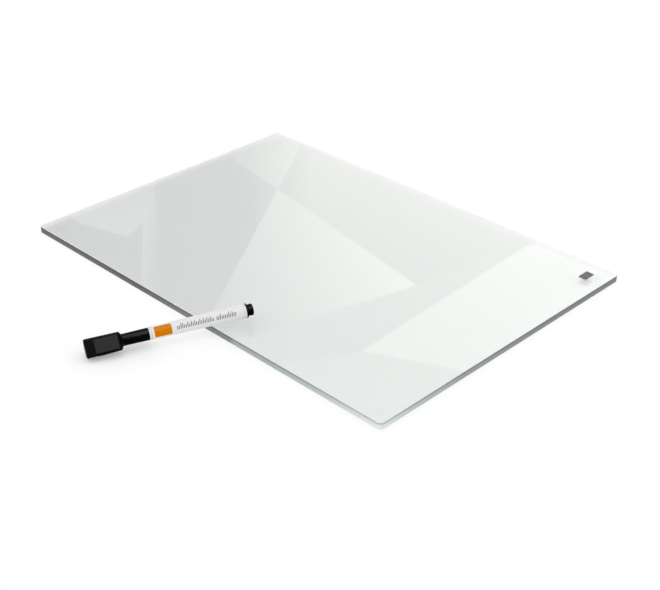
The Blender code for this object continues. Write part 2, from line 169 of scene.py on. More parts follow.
class Net:
    """The nodes of a material or of the world."""

    def __init__(self, tree: bpy.types.NodeTree) -> None:
        """Empty a node tree and take it over."""
        self.tree = tree
        tree.nodes.clear()

    def add(
        self,
        kind: str,
        settings: Mapping[str, Any] | None = None,
        sockets: Mapping[str | int, Any] | None = None,
    ) -> bpy.types.Node:
        """Add a node, make its settings and fill its sockets.

        Args:
            kind: The node's type without its prefix.
            settings: The node's own settings; "stops" are a ramp's (place, colour) pairs.
            sockets: Values or links by socket name or number.

        Returns:
            The node.
        """
        node = self.tree.nodes.new("ShaderNode" + kind)
        for name, setting in (settings or {}).items():
            if name == "stops":
                self._set_stops(node.color_ramp, setting)
            else:
                setattr(node, name, setting)
        for key, given in (sockets or {}).items():
            if isinstance(given, Value):
                self.tree.links.new(given.socket, node.inputs[key])
            elif isinstance(given, bpy.types.NodeSocket):
                self.tree.links.new(given, node.inputs[key])
            else:
                node.inputs[key].default_value = given
        return node

    @staticmethod
    def _set_stops(ramp: bpy.types.ColorRamp, stops: Stops) -> None:
        """Give a ramp its stops.

        Args:
            ramp: The ramp, which comes with two stops.
            stops: The (place, colour) pairs in order.
        """
        while len(ramp.elements) < len(stops):
            ramp.elements.new(1.0)
        for element, (place, colour) in zip(ramp.elements, stops):
            element.position = place
            element.color = (*colour, 1.0)

    def place(self) -> bpy.types.NodeSocket:
        """Return the point on the piece at rest, in the part's frame."""
        return self.add("TexCoord").outputs["Object"]

    def scaled(self, vector: bpy.types.NodeSocket, scale: Sequence[float]) -> bpy.types.NodeSocket:
        """Return a vector scaled along each axis."""
        node = self.add("VectorMath", {"operation": "MULTIPLY"}, {0: vector, 1: tuple(scale)})
        return node.outputs[0]

    def along(self, vector: bpy.types.NodeSocket, axis: Sequence[float]) -> Value:
        """Return how far a vector reaches along an axis."""
        node = self.add("VectorMath", {"operation": "DOT_PRODUCT"}, {0: vector, 1: tuple(axis)})
        return Value(self, node, "Value")

    def noise(
        self, vector: bpy.types.NodeSocket, scale: float = 1.0, detail: float = 3.0
    ) -> Value:
        """Return a cloudy pattern from 0 to 1 with so many features to the metre."""
        node = self.add("TexNoise", {}, {"Vector": vector, "Scale": scale, "Detail": detail})
        return Value(self, node)

    def colour(
        self, share: Value | float, first: Any, second: Any, blend: Blend = Blend.MIX
    ) -> bpy.types.NodeSocket:
        """Mix two colours.

        Args:
            share: How much of the second colour is taken.
            first: The first colour or a link to it.
            second: The second colour or a link to it.
            blend: How the two are mixed.

        Returns:
            The mixed colour.
        """
        pair = [(*c, 1.0) if isinstance(c, tuple) and len(c) == 3 else c for c in (first, second)]
        # A Mix node takes colours in its sockets 6 and 7 and gives one out of its socket 2
        node = self.add(
            "Mix",
            {"data_type": "RGBA", "blend_type": blend.value},
            {0: share, 6: pair[0], 7: pair[1]},
        )
        return node.outputs[2]

    def grey(self, level: Value) -> bpy.types.NodeSocket:
        """Return a number as a grey colour."""
        node = self.add("CombineColor", {}, {"Red": level, "Green": level, "Blue": level})
        return node.outputs[0]

    def bump(self, height: Value, depth: float, strength: float = 1.0) -> bpy.types.NodeSocket:
        """Return the normal of a surface roughened by a pattern of that depth."""
        sockets = {"Height": height, "Distance": depth, "Strength": strength}
        return self.add("Bump", {}, sockets).outputs["Normal"]

    def mixed(
        self, share: Value | float, first: bpy.types.NodeSocket, second: bpy.types.NodeSocket
    ) -> bpy.types.NodeSocket:
        """Return two shaders mixed by a share of the second."""
        return self.add("MixShader", {}, {0: share, 1: first, 2: second}).outputs[0]

    def plastic(self, **sockets: Any) -> bpy.types.NodeSocket:
        """Return a Principled shader; a socket's name has _ for each space."""
        named = {name.replace("_", " "): given for name, given in sockets.items()}
        return self.add("BsdfPrincipled", {}, named).outputs["BSDF"]

    def plain(self, kind: str, colour: Colour) -> bpy.types.NodeSocket:
        """Return a shader of a kind in one colour."""
        return self.add(kind, {}, {"Color": (*colour, 1.0)}).outputs[0]

    def ray(self, *kinds: str) -> Value:
        """Return 1 for a ray of any of these kinds, as Light Path names them, and else 0."""
        path = self.add("LightPath")
        return reduce(Value.at_least, [Value(self, path, f"Is {kind} Ray") for kind in kinds])

    def lamp_ray(self) -> Value:
        """Return 1 for the rays that carry lamp light, which clear pieces let through."""
        return self.ray("Shadow", "Diffuse")

    def seen_ray(self) -> Value:
        """Return 1 for the rays that show the background, straight, mirrored or through."""
        return self.ray("Camera", "Glossy", "Transmission")


@dataclass(frozen=True)
class MarkerAxis:
    """The marker's own axes in the part's frame, with the origin at the cap's end.

    Its coordinates are across the felt face, out of it, and along the marker.
    """

    origin: Vector
    across: Vector
    face: Vector
    along: Vector

    FELT_ELEVATION = math.radians(34.0)

    @classmethod
    def from_frame(cls) -> "MarkerAxis":
        """Find the axes from the slide that parts the cap and the barrel.

        Returns:
            The marker's axes.
        """
        slide = next(joint for joint in frame["joints"] if joint["name"] == "cap_pull")
        along = Vector(slide["axis"]).normalized()
        sideways = along.cross(Vector((0, 0, 1))).normalized()
        upward = sideways.cross(along)
        face = sideways * math.cos(cls.FELT_ELEVATION) + upward * math.sin(cls.FELT_ELEVATION)
        barrel_points = [v.co for v in frame["nodes"]["marker_barrel"].data.vertices]
        centre = sum(barrel_points, Vector()) / len(barrel_points)
        cap_points = [v.co for v in frame["nodes"]["marker_cap"].data.vertices]
        start = min((point - centre).dot(along) for point in cap_points)
        return cls(centre + along * start, face.cross(along), face, along)

    def matrix(self) -> Matrix:
        """Return the matrix from the marker's coordinates to the part's frame."""
        turn = Matrix((self.across, self.face, self.along)).transposed().to_4x4()
        return Matrix.Translation(self.origin) @ turn

    def extent(self, node: str) -> tuple[Vector, Vector]:
        """Measure a node in the marker's coordinates.

        Args:
            node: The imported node's name.

        Returns:
            Its lowest and highest corner.
        """
        back = self.matrix().inverted()
        points = [back @ v.co for v in frame["nodes"][node].data.vertices]
        low = Vector([min(point[axis] for point in points) for axis in range(3)])
        high = Vector([max(point[axis] for point in points) for axis in range(3)])
        return low, high

    def span(self, node: str) -> Span:
        """Return where a node starts and ends along the marker."""
        low, high = self.extent(node)
        return low.z, high.z

    def place(self, net: Net) -> bpy.types.NodeSocket:
        """Find the point on a piece in the marker's coordinates.

        Args:
            net: The material's nodes.

        Returns:
            The point.
        """
        offset = net.add(
            "VectorMath", {"operation": "SUBTRACT"}, {0: net.place(), 1: tuple(self.origin)}
        ).outputs[0]
        parts = [net.along(offset, axis) for axis in (self.across, self.face, self.along)]
        return net.add("CombineXYZ", {}, dict(enumerate(parts))).outputs[0]


class Finish(ABC):
    """A finish that makes its material once."""

    name: str

    @abstractmethod
    def surface(self, net: Net) -> bpy.types.NodeSocket:
        """Add the finish's nodes and return its shader."""

    def material(self) -> bpy.types.Material:
        """Make the finish's material on its first use.

        Returns:
            The material.
        """
        if self.name in bpy.data.materials:
            return bpy.data.materials[self.name]
        made = bpy.data.materials.new(self.name)
        made.use_nodes = True
        net = Net(made.node_tree)
        net.add("OutputMaterial", {}, {"Surface": self.surface(net)})
        return made


@dataclass(frozen=True)
class CastAcrylic(Finish):
    """Clear cast sheet: glassy faces, cut edges painted light near one corner and darker away from
    it, and a painted glint on the upper arris.
    """

    low: Vector
    high: Vector
    name: str = "cast_acrylic_sheet"
    index: float = 1.49
    tint: Colour = (0.859, 0.871, 0.866)
    lamp_tint: Colour = (0.93, 0.935, 0.93)
    # satin and its share: a pale colour painted on the upper arris as a glint, standing in for a
    # bright reflection.
    satin: Colour = (0.96, 0.97, 0.965)
    painted_glint_share: float = 0.9
    inner_share: float = 0.95
    side_rise: Span = (0.5, 0.7)
    level_rise: Span = (0.97, 0.995)
    side_facing: Span = (0.6, 0.8)
    wipe_scale: Scale = (9.0, 2.5, 1.0)
    wipe_band: Span = (0.62, 0.80)
    wipe_roughness: float = 0.02
    # Painted light on the cut edges: the ramps run from light green at the front corner to dark
    # grey farther along, and the left ramp's sharp step is a painted reflection.
    edge_reach: float = 0.42
    front_painted_light_stops: Stops = (
        (0.000, (0.76, 0.836, 0.788)),
        (0.048, (0.607, 0.681, 0.635)),
        (0.100, (0.478, 0.543, 0.511)),
        (0.152, (0.405, 0.46, 0.437)),
        (0.207, (0.316, 0.352, 0.338)),
        (0.321, (0.252, 0.276, 0.276)),
        (0.443, (0.193, 0.208, 0.216)),
        (0.700, (0.141, 0.152, 0.163)),
    )
    left_painted_light_stops: Stops = (
        (0.000, (0.815, 0.902, 0.854)),
        (0.045, (0.749, 0.826, 0.778)),
        (0.143, (0.53, 0.605, 0.567)),
        (0.243, (0.422, 0.484, 0.466)),
        (0.370, (0.383, 0.434, 0.417)),
        (0.380, (0.214, 0.231, 0.231)),
        (0.524, (0.172, 0.184, 0.184)),
        (0.590, (0.113, 0.117, 0.119)),
        (0.660, (0.074, 0.077, 0.077)),
        (1.000, (0.073, 0.076, 0.076)),
    )
    # Painted shade: a darker band across the edge's upper part, under the arris.
    painted_shade_band: Span = (0.67, 0.72)
    painted_shade_depth: float = 0.32
    # Painted light: the edge grows lighter towards its foot.
    painted_lower_light_band: Span = (0.05, 0.55)
    painted_lower_light_lift: float = 0.08
    stroke_scale: Scale = (2600.0, 2600.0, 60.0)
    stroke_swing: float = 0.10
    cloud_scale: Scale = (60.0, 60.0, 200.0)
    cloud_swing: float = 0.16
    roughness: float = 0.16
    stroke_roughness: float = 0.14
    relief: float = 0.00002

    def surface(self, net: Net) -> bpy.types.NodeSocket:
        """Add the sheet's nodes.

        Args:
            net: The material's nodes.

        Returns:
            The sheet's shader.
        """
        geometry = net.add("NewGeometry")
        normal = geometry.outputs["Normal"]
        rise = net.along(normal, (0, 0, 1))
        upright = abs(rise)
        outside = 1 - Value(net, geometry, "Backfacing")
        side = (1 - upright.step(*self.side_rise)) * outside
        surface = net.mixed(side, self._face(net), self._edge(net, normal))
        tilted = 1 - upright.step(*self.level_rise)
        # The upper arris, seen from outside, takes the pale satin colour: a painted glint standing
        # in for a bright reflection.
        rounded = rise.step(*self.side_rise) * tilted * outside
        satin = net.plain("BsdfDiffuse", self.satin)
        surface = net.mixed(rounded * self.painted_glint_share, surface, satin)
        clear = net.plain("BsdfTransparent", self.lamp_tint)
        surface = net.mixed(tilted * (1 - outside) * self.inner_share, surface, clear)
        return net.mixed(net.lamp_ray(), surface, clear)

    def _face(self, net: Net) -> bpy.types.NodeSocket:
        """Add the polished face with its faint wiping marks.

        Args:
            net: The material's nodes.

        Returns:
            The face's shader.
        """
        wipes = net.noise(net.scaled(net.place(), self.wipe_scale), detail=5.0)
        return net.plastic(
            Base_Color=(*self.tint, 1.0),
            Roughness=wipes.step(*self.wipe_band) * self.wipe_roughness,
            IOR=self.index,
            Transmission_Weight=1.0,
            Normal=net.add("NewGeometry").outputs["True Normal"],
        )

    def _edge(self, net: Net, normal: bpy.types.NodeSocket) -> bpy.types.NodeSocket:
        """Add the cut edge: painted light fading from the front corner, a painted dark band of
        shade under the arris, painted light towards its foot, and fine polishing strokes.

        Args:
            net: The material's nodes.
            normal: The edge's normal.

        Returns:
            The edge's shader.
        """
        place = net.place()
        # The edge's colour is painted light, ramped by distance from the front corner.
        distance = (net.along(place, (1, 1, 0)) - (self.low.x + self.low.y)) / self.edge_reach
        front, left = (
            net.add("ValToRGB", {"stops": stops}, {0: distance}).outputs[0]
            for stops in (self.front_painted_light_stops, self.left_painted_light_stops)
        )
        facing_left = abs(net.along(normal, (1, 0, 0))).step(*self.side_facing)
        shade = net.colour(facing_left, front, left)
        height = (net.along(place, (0, 0, 1)) - self.low.z) / (self.high.z - self.low.z)
        # Painted shade darkens the band under the arris.
        line = height.step(*self.painted_shade_band)
        # Painted light lifts the edge towards its foot.
        foot = 1 - height.step(*self.painted_lower_light_band)
        strokes = net.noise(net.scaled(place, self.stroke_scale), detail=2.0)
        clouds = net.noise(net.scaled(place, self.cloud_scale), detail=2.0)
        level = 1 - line * self.painted_shade_depth + foot * self.painted_lower_light_lift
        level = level + strokes.swing(self.stroke_swing) + clouds.swing(self.cloud_swing)
        colour = net.colour(1.0, shade, net.grey(level), Blend.MULTIPLY)
        return net.plastic(
            Base_Color=colour,
            Roughness=self.roughness + strokes * self.stroke_roughness,
            IOR=self.index,
            Normal=net.bump(strokes, self.relief, strength=0.4),
        )


@dataclass(frozen=True)
class SoftBumper(Finish):
    """Clear soft plastic of the bumper feet."""

    name: str = "clear_soft_bumper"
    lamp_tint: Colour = (0.994, 0.996, 0.994)
    dark: Colour = (0.80, 0.82, 0.81)
    light: Colour = (0.88, 0.90, 0.89)
    grain_scale: float = 2200.0
    roughness: float = 0.30
    grain_roughness: float = 0.2
    relief: float = 0.00003
    haze: float = 0.006
    rim_haze: float = 0.02
    rim_blend: float = 0.2

    def surface(self, net: Net) -> bpy.types.NodeSocket:
        """Add the bumper's nodes.

        Args:
            net: The material's nodes.

        Returns:
            The bumper's shader.
        """
        grain = net.noise(net.place(), self.grain_scale)
        body = net.plastic(
            Base_Color=net.colour(grain, self.dark, self.light),
            Roughness=self.roughness + grain * self.grain_roughness,
            Normal=net.bump(grain, self.relief, strength=0.5),
        )
        clear = net.plain("BsdfTransparent", self.lamp_tint)
        rim = Value(net, net.add("LayerWeight", {}, {"Blend": self.rim_blend}), "Facing")
        surface = net.mixed(self.haze + rim * self.rim_haze, clear, body)
        return net.mixed(net.lamp_ray(), surface, clear)


@dataclass(frozen=True)
class BrushedPlate(Finish):
    """Dark satin metal of the name tag, brushed along its length."""

    name: str = "brushed_tag_metal"
    dark: Colour = (0.085, 0.086, 0.092)
    light: Colour = (0.15, 0.151, 0.158)
    stroke_scale: Scale = (250.0, 9000.0, 9000.0)
    stroke_share: float = 0.6
    cloud_scale: float = 420.0
    metallic: float = 0.75
    roughness: float = 0.30
    stroke_roughness: float = 0.22
    relief: float = 0.00002

    def surface(self, net: Net) -> bpy.types.NodeSocket:
        """Add the plate's nodes.

        Args:
            net: The material's nodes.

        Returns:
            The plate's shader.
        """
        place = net.place()
        strokes = net.noise(net.scaled(place, self.stroke_scale), detail=4.0)
        cloud = net.noise(place, self.cloud_scale)
        share = strokes * self.stroke_share + cloud * (1 - self.stroke_share)
        return net.plastic(
            Base_Color=net.colour(share, self.dark, self.light),
            Metallic=self.metallic,
            Roughness=self.roughness + strokes * self.stroke_roughness,
            Normal=net.bump(strokes, self.relief, strength=0.5),
        )


@dataclass(frozen=True)
class MouldedPlastic(Finish):
    """Injection-moulded plastic with a fine spark-eroded grain."""

    name: str
    dark: Colour
    light: Colour
    roughness: float
    specular: float
    grain_scale: float = 5200.0
    grain_swing: float = 0.16
    cloud_scale: float = 180.0
    cloud_band: Span = (0.35, 0.75)
    cloud_swing: float = 0.10
    relief: float = 0.00002

    def surface(self, net: Net) -> bpy.types.NodeSocket:
        """Add the plastic's nodes.

        Args:
            net: The material's nodes.

        Returns:
            The plastic's shader.
        """
        place = net.place()
        grain = net.noise(place, self.grain_scale, detail=2.0)
        cloud = net.noise(place, self.cloud_scale)
        rough = self.roughness + grain.swing(self.grain_swing) + cloud.swing(self.cloud_swing)
        return net.plastic(
            Base_Color=net.colour(cloud.step(*self.cloud_band), self.dark, self.light),
            Roughness=rough,
            Specular_IOR_Level=self.specular,
            Normal=net.bump(grain, self.relief, strength=0.5),
        )


@dataclass(frozen=True)
class WoolFelt(Finish):
    """Dark grey pressed felt."""

    name: str = "pressed_grey_felt"
    dark: Colour = (0.0175, 0.0175, 0.018)
    light: Colour = (0.046, 0.046, 0.048)
    mat_scale: float = 1400.0
    mat_band: Span = (0.30, 0.72)
    mat_share: float = 0.65
    mat_relief: float = 0.6
    hair_scale: Scale = (5200.0, 2300.0, 4100.0)
    roughness: float = 0.90
    hair_roughness: float = 0.1
    specular: float = 0.02
    sheen: float = 0.07
    sheen_roughness: float = 0.5
    relief: float = 0.00012

    def surface(self, net: Net) -> bpy.types.NodeSocket:
        """Add the felt's nodes.

        Args:
            net: The material's nodes.

        Returns:
            The felt's shader.
        """
        place = net.place()
        matted = net.noise(place, self.mat_scale, detail=6.0)
        hairs = net.noise(net.scaled(place, self.hair_scale))
        share = matted.step(*self.mat_band) * self.mat_share + hairs * (1 - self.mat_share)
        height = matted * self.mat_relief + hairs * (1 - self.mat_relief)
        return net.plastic(
            Base_Color=net.colour(share, self.dark, self.light),
            Roughness=self.roughness + hairs * self.hair_roughness,
            Specular_IOR_Level=self.specular,
            Sheen_Weight=self.sheen,
            Sheen_Roughness=self.sheen_roughness,
            Normal=net.bump(height, self.relief, strength=0.9),
        )


@dataclass(frozen=True)
class PrintedFilm(Finish):
    """White glossy film with a plain orange block and a row of fine grey strokes."""

    axis: MarkerAxis
    radius: float
    name: str = "printed_label_film"
    white: Colour = (0.88, 0.88, 0.885)
    white_cloud: Colour = (0.85, 0.85, 0.86)
    orange: Colour = (0.73, 0.225, 0.001)
    orange_cloud: Colour = (0.68, 0.20, 0.001)
    ink: Colour = (0.13, 0.13, 0.145)
    soft_edge: float = 0.00005
    block_start: float = 0.0542
    block_end: float = 0.0681
    block_turn: float = math.radians(-1.0)
    block_half_turn: float = math.radians(53.0)
    block_corner: float = 0.0012
    row_start: float = 0.0719
    row_end: float = 0.1201
    row_turn: float = math.radians(-2.0)
    row_base: float = 0.0020
    row_low: float = 0.0009
    row_high: float = 0.0024
    row_gap: Span = (0.1017, 0.1035)
    stroke_pitch: float = 0.00138
    stroke_share: float = 0.45
    stroke_slant: float = 0.12
    tall_band: Span = (0.60, 0.61)
    cloud_scale: float = 160.0
    cloud_swing: float = 0.10
    fine_scale: float = 3800.0
    fine_swing: float = 0.08
    roughness: float = 0.24
    specular: float = 0.01
    relief: float = 0.00001

    def surface(self, net: Net) -> bpy.types.NodeSocket:
        """Add the film's nodes.

        Args:
            net: The material's nodes.

        Returns:
            The film's shader.
        """
        place = self.axis.place(net)
        across, face, along = (net.along(place, row) for row in Matrix.Identity(3))
        turn = across.turn_from(face)
        cloud = net.noise(place, self.cloud_scale)
        fine = net.noise(place, self.fine_scale, detail=2.0)
        white = net.colour(cloud, self.white, self.white_cloud)
        orange = net.colour(cloud, self.orange, self.orange_cloud)
        colour = net.colour(self._strokes(along, turn), white, self.ink)
        colour = net.colour(self._block(along, turn), colour, orange)
        rough = self.roughness + fine.swing(self.fine_swing) + cloud.swing(self.cloud_swing)
        return net.plastic(
            Base_Color=colour,
            Roughness=rough,
            Specular_IOR_Level=self.specular,
            Normal=net.bump(fine, self.relief, strength=0.4),
        )

    def _block(self, along: Value, turn: Value) -> Value:
        """Draw the plain block with its rounded corners.

        Args:
            along: How far along the marker.
            turn: The angle round it, from the felt face's direction.

        Returns:
            1 inside the block and 0 outside.
        """
        corner = self.block_corner
        half = (self.block_end - self.block_start) / 2 - corner
        half_height = self.block_half_turn * self.radius - corner
        past = (abs(along - (self.block_start + self.block_end) / 2) - half).at_least(0)
        over = (abs((turn - self.block_turn) * self.radius) - half_height).at_least(0)
        distance = (past * past + over * over) ** 0.5
        return 1 - distance.step(corner - self.soft_edge, corner + self.soft_edge)

    def _strokes(self, along: Value, turn: Value) -> Value:
        """Draw the row of strokes, some of them taller, with one gap in it.

        Args:
            along: How far along the marker.
            turn: The angle round it, from the felt face's direction.

        Returns:
            1 on a stroke and 0 elsewhere.
        """
        rise = (turn - self.row_turn) * self.radius
        count = (along - rise * self.stroke_slant - self.row_start) / self.stroke_pitch
        soft = self.soft_edge / self.stroke_pitch
        half = self.stroke_share / 2
        stroke = 1 - abs(count.rest() - 0.5).step(half - soft, half + soft)
        net = along.net
        chance = net.add("TexWhiteNoise", {"noise_dimensions": "1D"}, {"W": count.whole()})
        tall = Value(net, chance).step(*self.tall_band)
        top = self.row_low + tall * (self.row_high - self.row_low)
        inside = self._between(rise, -self.row_base, top)
        inside = inside * self._between(along, self.row_start, self.row_end)
        return stroke * inside * (1 - self._between(along, *self.row_gap))

    def _between(self, at: Value, low: float, high: Value | float) -> Value:
        """Return 1 between two limits and 0 outside them, with soft edges."""
        soft = self.soft_edge
        return (at - low).step(-soft, soft) * (high - at).step(-soft, soft)


@dataclass(frozen=True)
class Fibre(Finish):
    """Bonded fibre of the nib or the ink reservoir, drawn along the marker."""

    axis: MarkerAxis
    name: str
    dark: Colour
    light: Colour
    strand_scale: Scale = (9000.0, 9000.0, 900.0)
    strand_share: float = 0.7
    cloud_scale: float = 500.0
    roughness: float = 0.85
    strand_roughness: float = 0.12
    specular: float = 0.2
    relief: float = 0.00005

    def surface(self, net: Net) -> bpy.types.NodeSocket:
        """Add the fibre's nodes.

        Args:
            net: The material's nodes.

        Returns:
            The fibre's shader.
        """
        place = self.axis.place(net)
        strands = net.noise(net.scaled(place, self.strand_scale))
        cloud = net.noise(place, self.cloud_scale)
        share = strands * self.strand_share + cloud * (1 - self.strand_share)
        return net.plastic(
            Base_Color=net.colour(share, self.dark, self.light),
            Roughness=self.roughness + strands * self.strand_roughness,
            Specular_IOR_Level=self.specular,
            Normal=net.bump(strands, self.relief, strength=0.7),
        )


@dataclass(frozen=True)
class DeskFloor(Finish):
    """Pale floor that keeps the object's shadow and shows as white."""

    name: str = "pale_floor"
    pale: Colour = (0.80, 0.80, 0.80)
    bounce: Colour = (0.94, 0.94, 0.94)
    lift: float = 0.284

    def surface(self, net: Net) -> bpy.types.NodeSocket:
        """Add the floor's nodes.

        Args:
            net: The material's nodes.

        Returns:
            The floor's shader.
        """
        matt, unseen = (net.plain("BsdfDiffuse", colour) for colour in (self.pale, self.bounce))
        white = net.add("Emission", {}, {"Strength": self.lift}).outputs[0]
        shown = net.add("AddShader", {}, {0: matt, 1: white}).outputs[0]
        above = net.mixed(net.seen_ray(), unseen, shown)
        below = Value(net, net.add("NewGeometry"), "Backfacing")
        return net.mixed(below, above, net.add("BsdfTransparent").outputs[0])


@dataclass(frozen=True)
class PanelGlow(Finish):
    """The light of a studio panel, brighter towards one side, and white where not mirrored."""

    name: str = "panel_glow"
    attribute: str = "glow"
    warmth: Colour = (1.0, 1.0, 0.97)

    def surface(self, net: Net) -> bpy.types.NodeSocket:
        """Add the panel's nodes.

        Args:
            net: The material's nodes.

        Returns:
            The panel's shader.
        """
        glow = Value(net, net.add("Attribute", {"attribute_name": self.attribute}), "Fac")
        mirrored = Value(net, net.add("LightPath"), "Glossy Depth").at_most(1.0)
        shown = 1 + (glow.at_least(0.0) - 1) * mirrored
        light = net.colour(1.0, net.grey(shown), self.warmth, Blend.MULTIPLY)
        return net.add("Emission", {}, {"Color": light}).outputs[0]


def quarter_round(
    radius: float, steps: int = ARRIS_STEPS, back: bool = False
) -> Iterator[Point]:
    """Follow a quarter circle between a flat end and a full side.

    Args:
        radius: The circle's radius.
        steps: How many steps it takes.
        back: Whether it runs from the side to the end.

    Yields:
        How far in from the side, and how far on from the end.
    """
    for step in reversed(range(steps + 1)) if back else range(steps + 1):
        turn = step / steps * math.pi / 2
        yield radius * (1 - math.sin(turn)), radius * (1 - math.cos(turn))


def rounded_rectangle(width: float, height: float, radius: float, steps: int) -> list[Point]:
    """Outline a rectangle centred on the origin.

    Args:
        width: Its size along X.
        height: Its size along Y.
        radius: Its corners' radius.
        steps: How many steps a corner takes.

    Returns:
        The outline's points.
    """
    points = []
    for quarter, (side, end) in enumerate(((1, 1), (-1, 1), (-1, -1), (1, -1))):
        for step in range(steps + 1):
            angle = (quarter + step / steps) * math.pi / 2
            x = side * (width / 2 - radius) + radius * math.cos(angle)
            y = end * (height / 2 - radius) + radius * math.sin(angle)
            points.append((x, y))
    return points


def join_rings(bm: bmesh.types.BMesh, rings: Sequence[Ring], closed: bool = False) -> None:
    """Add rings of points, joined into a solid, to a mesh.

    Args:
        bm: The mesh.
        rings: The rings in order, all of one length, or of one point where they end in a tip.
        closed: Whether the last ring joins the first; otherwise the end rings are filled.
    """
    loops = [[bm.verts.new(point) for point in ring] for ring in rings]
    pairs = list(zip(loops, loops[1:]))
    if closed:
        pairs.append((loops[-1], loops[0]))
    for lower, upper in pairs:
        count = max(len(lower), len(upper))
        for index in range(count):
            after = (index + 1) % count
            if len(lower) == 1:
                bm.faces.new((lower[0], upper[after], upper[index]))
            elif len(upper) == 1:
                bm.faces.new((lower[index], lower[after], upper[0]))
            else:
                bm.faces.new((lower[index], lower[after], upper[after], upper[index]))
    if not closed:
        for loop in (loops[0], loops[-1]):
            if len(loop) > 1:
                bm.faces.new(loop)


def skin(rings: Sequence[Ring], closed: bool = False) -> bmesh.types.BMesh:
    """Join rings of points into a solid.

    Args:
        rings: The rings in order.
        closed: Whether the last ring joins the first.

    Returns:
        The solid.
    """
    bm = bmesh.new()
    join_rings(bm, rings, closed)
    bmesh.ops.recalc_face_normals(bm, faces=bm.faces)
    return bm


def turned(
    profile: Sequence[Point], place: Matrix, closed: bool = False, steps: int = 96
) -> bmesh.types.BMesh:
    """Spin a profile about the Z axis of a place.

    Args:
        profile: The (radius, height) points; a radius of 0 makes a tip.
        place: The matrix of the spun solid.
        closed: Whether the profile is a loop clear of the axis.
        steps: How many steps a turn takes.

    Returns:
        The solid.
    """
    rings = []
    for radius, height in profile:
        count = steps if radius > 0 else 1
        turns = [index / steps * math.tau for index in range(count)]
        rings.append(
            [place @ Vector((radius * math.cos(a), radius * math.sin(a), height)) for a in turns]
        )
    return skin(rings, closed)


def slab(
    low: Vector, high: Vector, corner: float, corner_steps: int, arris: float
) -> bmesh.types.BMesh:
    """Build a level plate with rounded corners and rounded arrises.

    Args:
        low: Its lowest corner.
        high: Its highest corner.
        corner: The radius of its corners in plan.
        corner_steps: How many steps a corner takes.
        arris: The radius of its arrises.

    Returns:
        The plate.
    """
    centre = (low + high) / 2
    size = high - low
    flat_inset = arris * FACE_LOOP_SHARE
    least_corner = arris * LEAST_CORNER_SHARE
    rise = list(quarter_round(arris))
    insets = [(flat_inset, low.z), *((inset, low.z + advance) for inset, advance in rise)]
    insets += [(inset, high.z - advance) for inset, advance in reversed(rise)]
    insets.append((flat_inset, high.z))
    rings = []
    for inset, height in insets:
        outline = rounded_rectangle(
            size.x - 2 * inset, size.y - 2 * inset, max(corner - inset, least_corner), corner_steps
        )
        rings.append([Vector((centre.x + x, centre.y + y, height)) for x, y in outline])
    return skin(rings)


def to_scene(name: str, data: bpy.types.ID) -> bpy.types.Object:
    """Put an object into the scene.

    Args:
        name: Its name.
        data: Its mesh, light or camera.

    Returns:
        The object.
    """
    thing = bpy.data.objects.new(name, data)
    bpy.context.scene.collection.objects.link(thing)
    return thing


def to_object(name: str, bm: bmesh.types.BMesh) -> bpy.types.Object:
    """Put a mesh into the scene as an object.

    Args:
        name: The object's name.
        bm: The mesh, which is used up.

    Returns:
        The object.
    """
    mesh = bpy.data.meshes.new(name)
    bm.to_mesh(mesh)
    bm.free()
    return to_scene(name, mesh)


def make_piece(
    name: str, bm: bmesh.types.BMesh, finish: Finish, body: Body, slot: str, stands_for: str
) -> bpy.types.Object:
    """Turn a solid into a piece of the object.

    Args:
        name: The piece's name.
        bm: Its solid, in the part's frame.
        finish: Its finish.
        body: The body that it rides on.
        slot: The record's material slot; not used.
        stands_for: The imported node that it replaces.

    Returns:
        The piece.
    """
    piece = to_object(name, bm)
    mesh = piece.data
    mesh.shade_smooth()
    mesh.set_sharp_from_angle(angle=SMOOTH_ANGLE)
    mesh.materials.append(finish.material())
    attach(piece, body.value)
    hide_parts(stands_for)
    LOG.info("%s: %d faces on %s", name, len(mesh.polygons), body.value)
    return piece


@dataclass(frozen=True)
class Board:
    """The clear sheet, its blank tag and its bumper feet."""

    sheet_corner: float = 0.004
    sheet_corner_steps: int = 16
    sheet_arris: float = 0.0005
    tag_corner: float = 0.0005
    tag_corner_steps: int = 8
    tag_arris: float = 0.00015
    foot_round: float = 0.001
    foot_steps: int = 64

    def build(self) -> None:
        """Build and dress the board's pieces."""
        self.build_sheet()
        self.build_tag()
        for end in ("front", "back"):
            for side in ("left", "right"):
                self.build_foot(f"foot_{end}_{side}")

    def build_sheet(self) -> None:
        """Build the sheet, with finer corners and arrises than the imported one."""
        low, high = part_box("acrylic_sheet")
        bm = slab(low, high, self.sheet_corner, self.sheet_corner_steps, self.sheet_arris)
        finish = CastAcrylic(low, high)
        make_piece("clear_sheet", bm, finish, Body.BOARD, "clear_acrylic", "acrylic_sheet")

    def build_tag(self) -> None:
        """Build the blank tag."""
        low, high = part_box("name_tag")
        bm = slab(low, high, self.tag_corner, self.tag_corner_steps, self.tag_arris)
        make_piece("blank_tag", bm, BrushedPlate(), Body.BOARD, "tag_plate", "name_tag")

    def build_foot(self, node: str) -> None:
        """Build one bumper foot.

        Args:
            node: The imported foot's name.
        """
        low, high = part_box(node)
        radius = (high.x - low.x) / 2
        height = high.z - low.z
        centre = Matrix.Translation(((low.x + high.x) / 2, (low.y + high.y) / 2, low.z))
        dome = quarter_round(1.0, CURVE_STEPS)
        profile = [(0.0, 0.0)]
        profile += [(radius - self.foot_round * inset, height * rise) for inset, rise in dome]
        profile.append((0.0, height))
        bm = turned(profile, centre, steps=self.foot_steps)
        make_piece(f"bumper_{node}", bm, SoftBumper(), Body.BOARD, "clear_bumper", node)


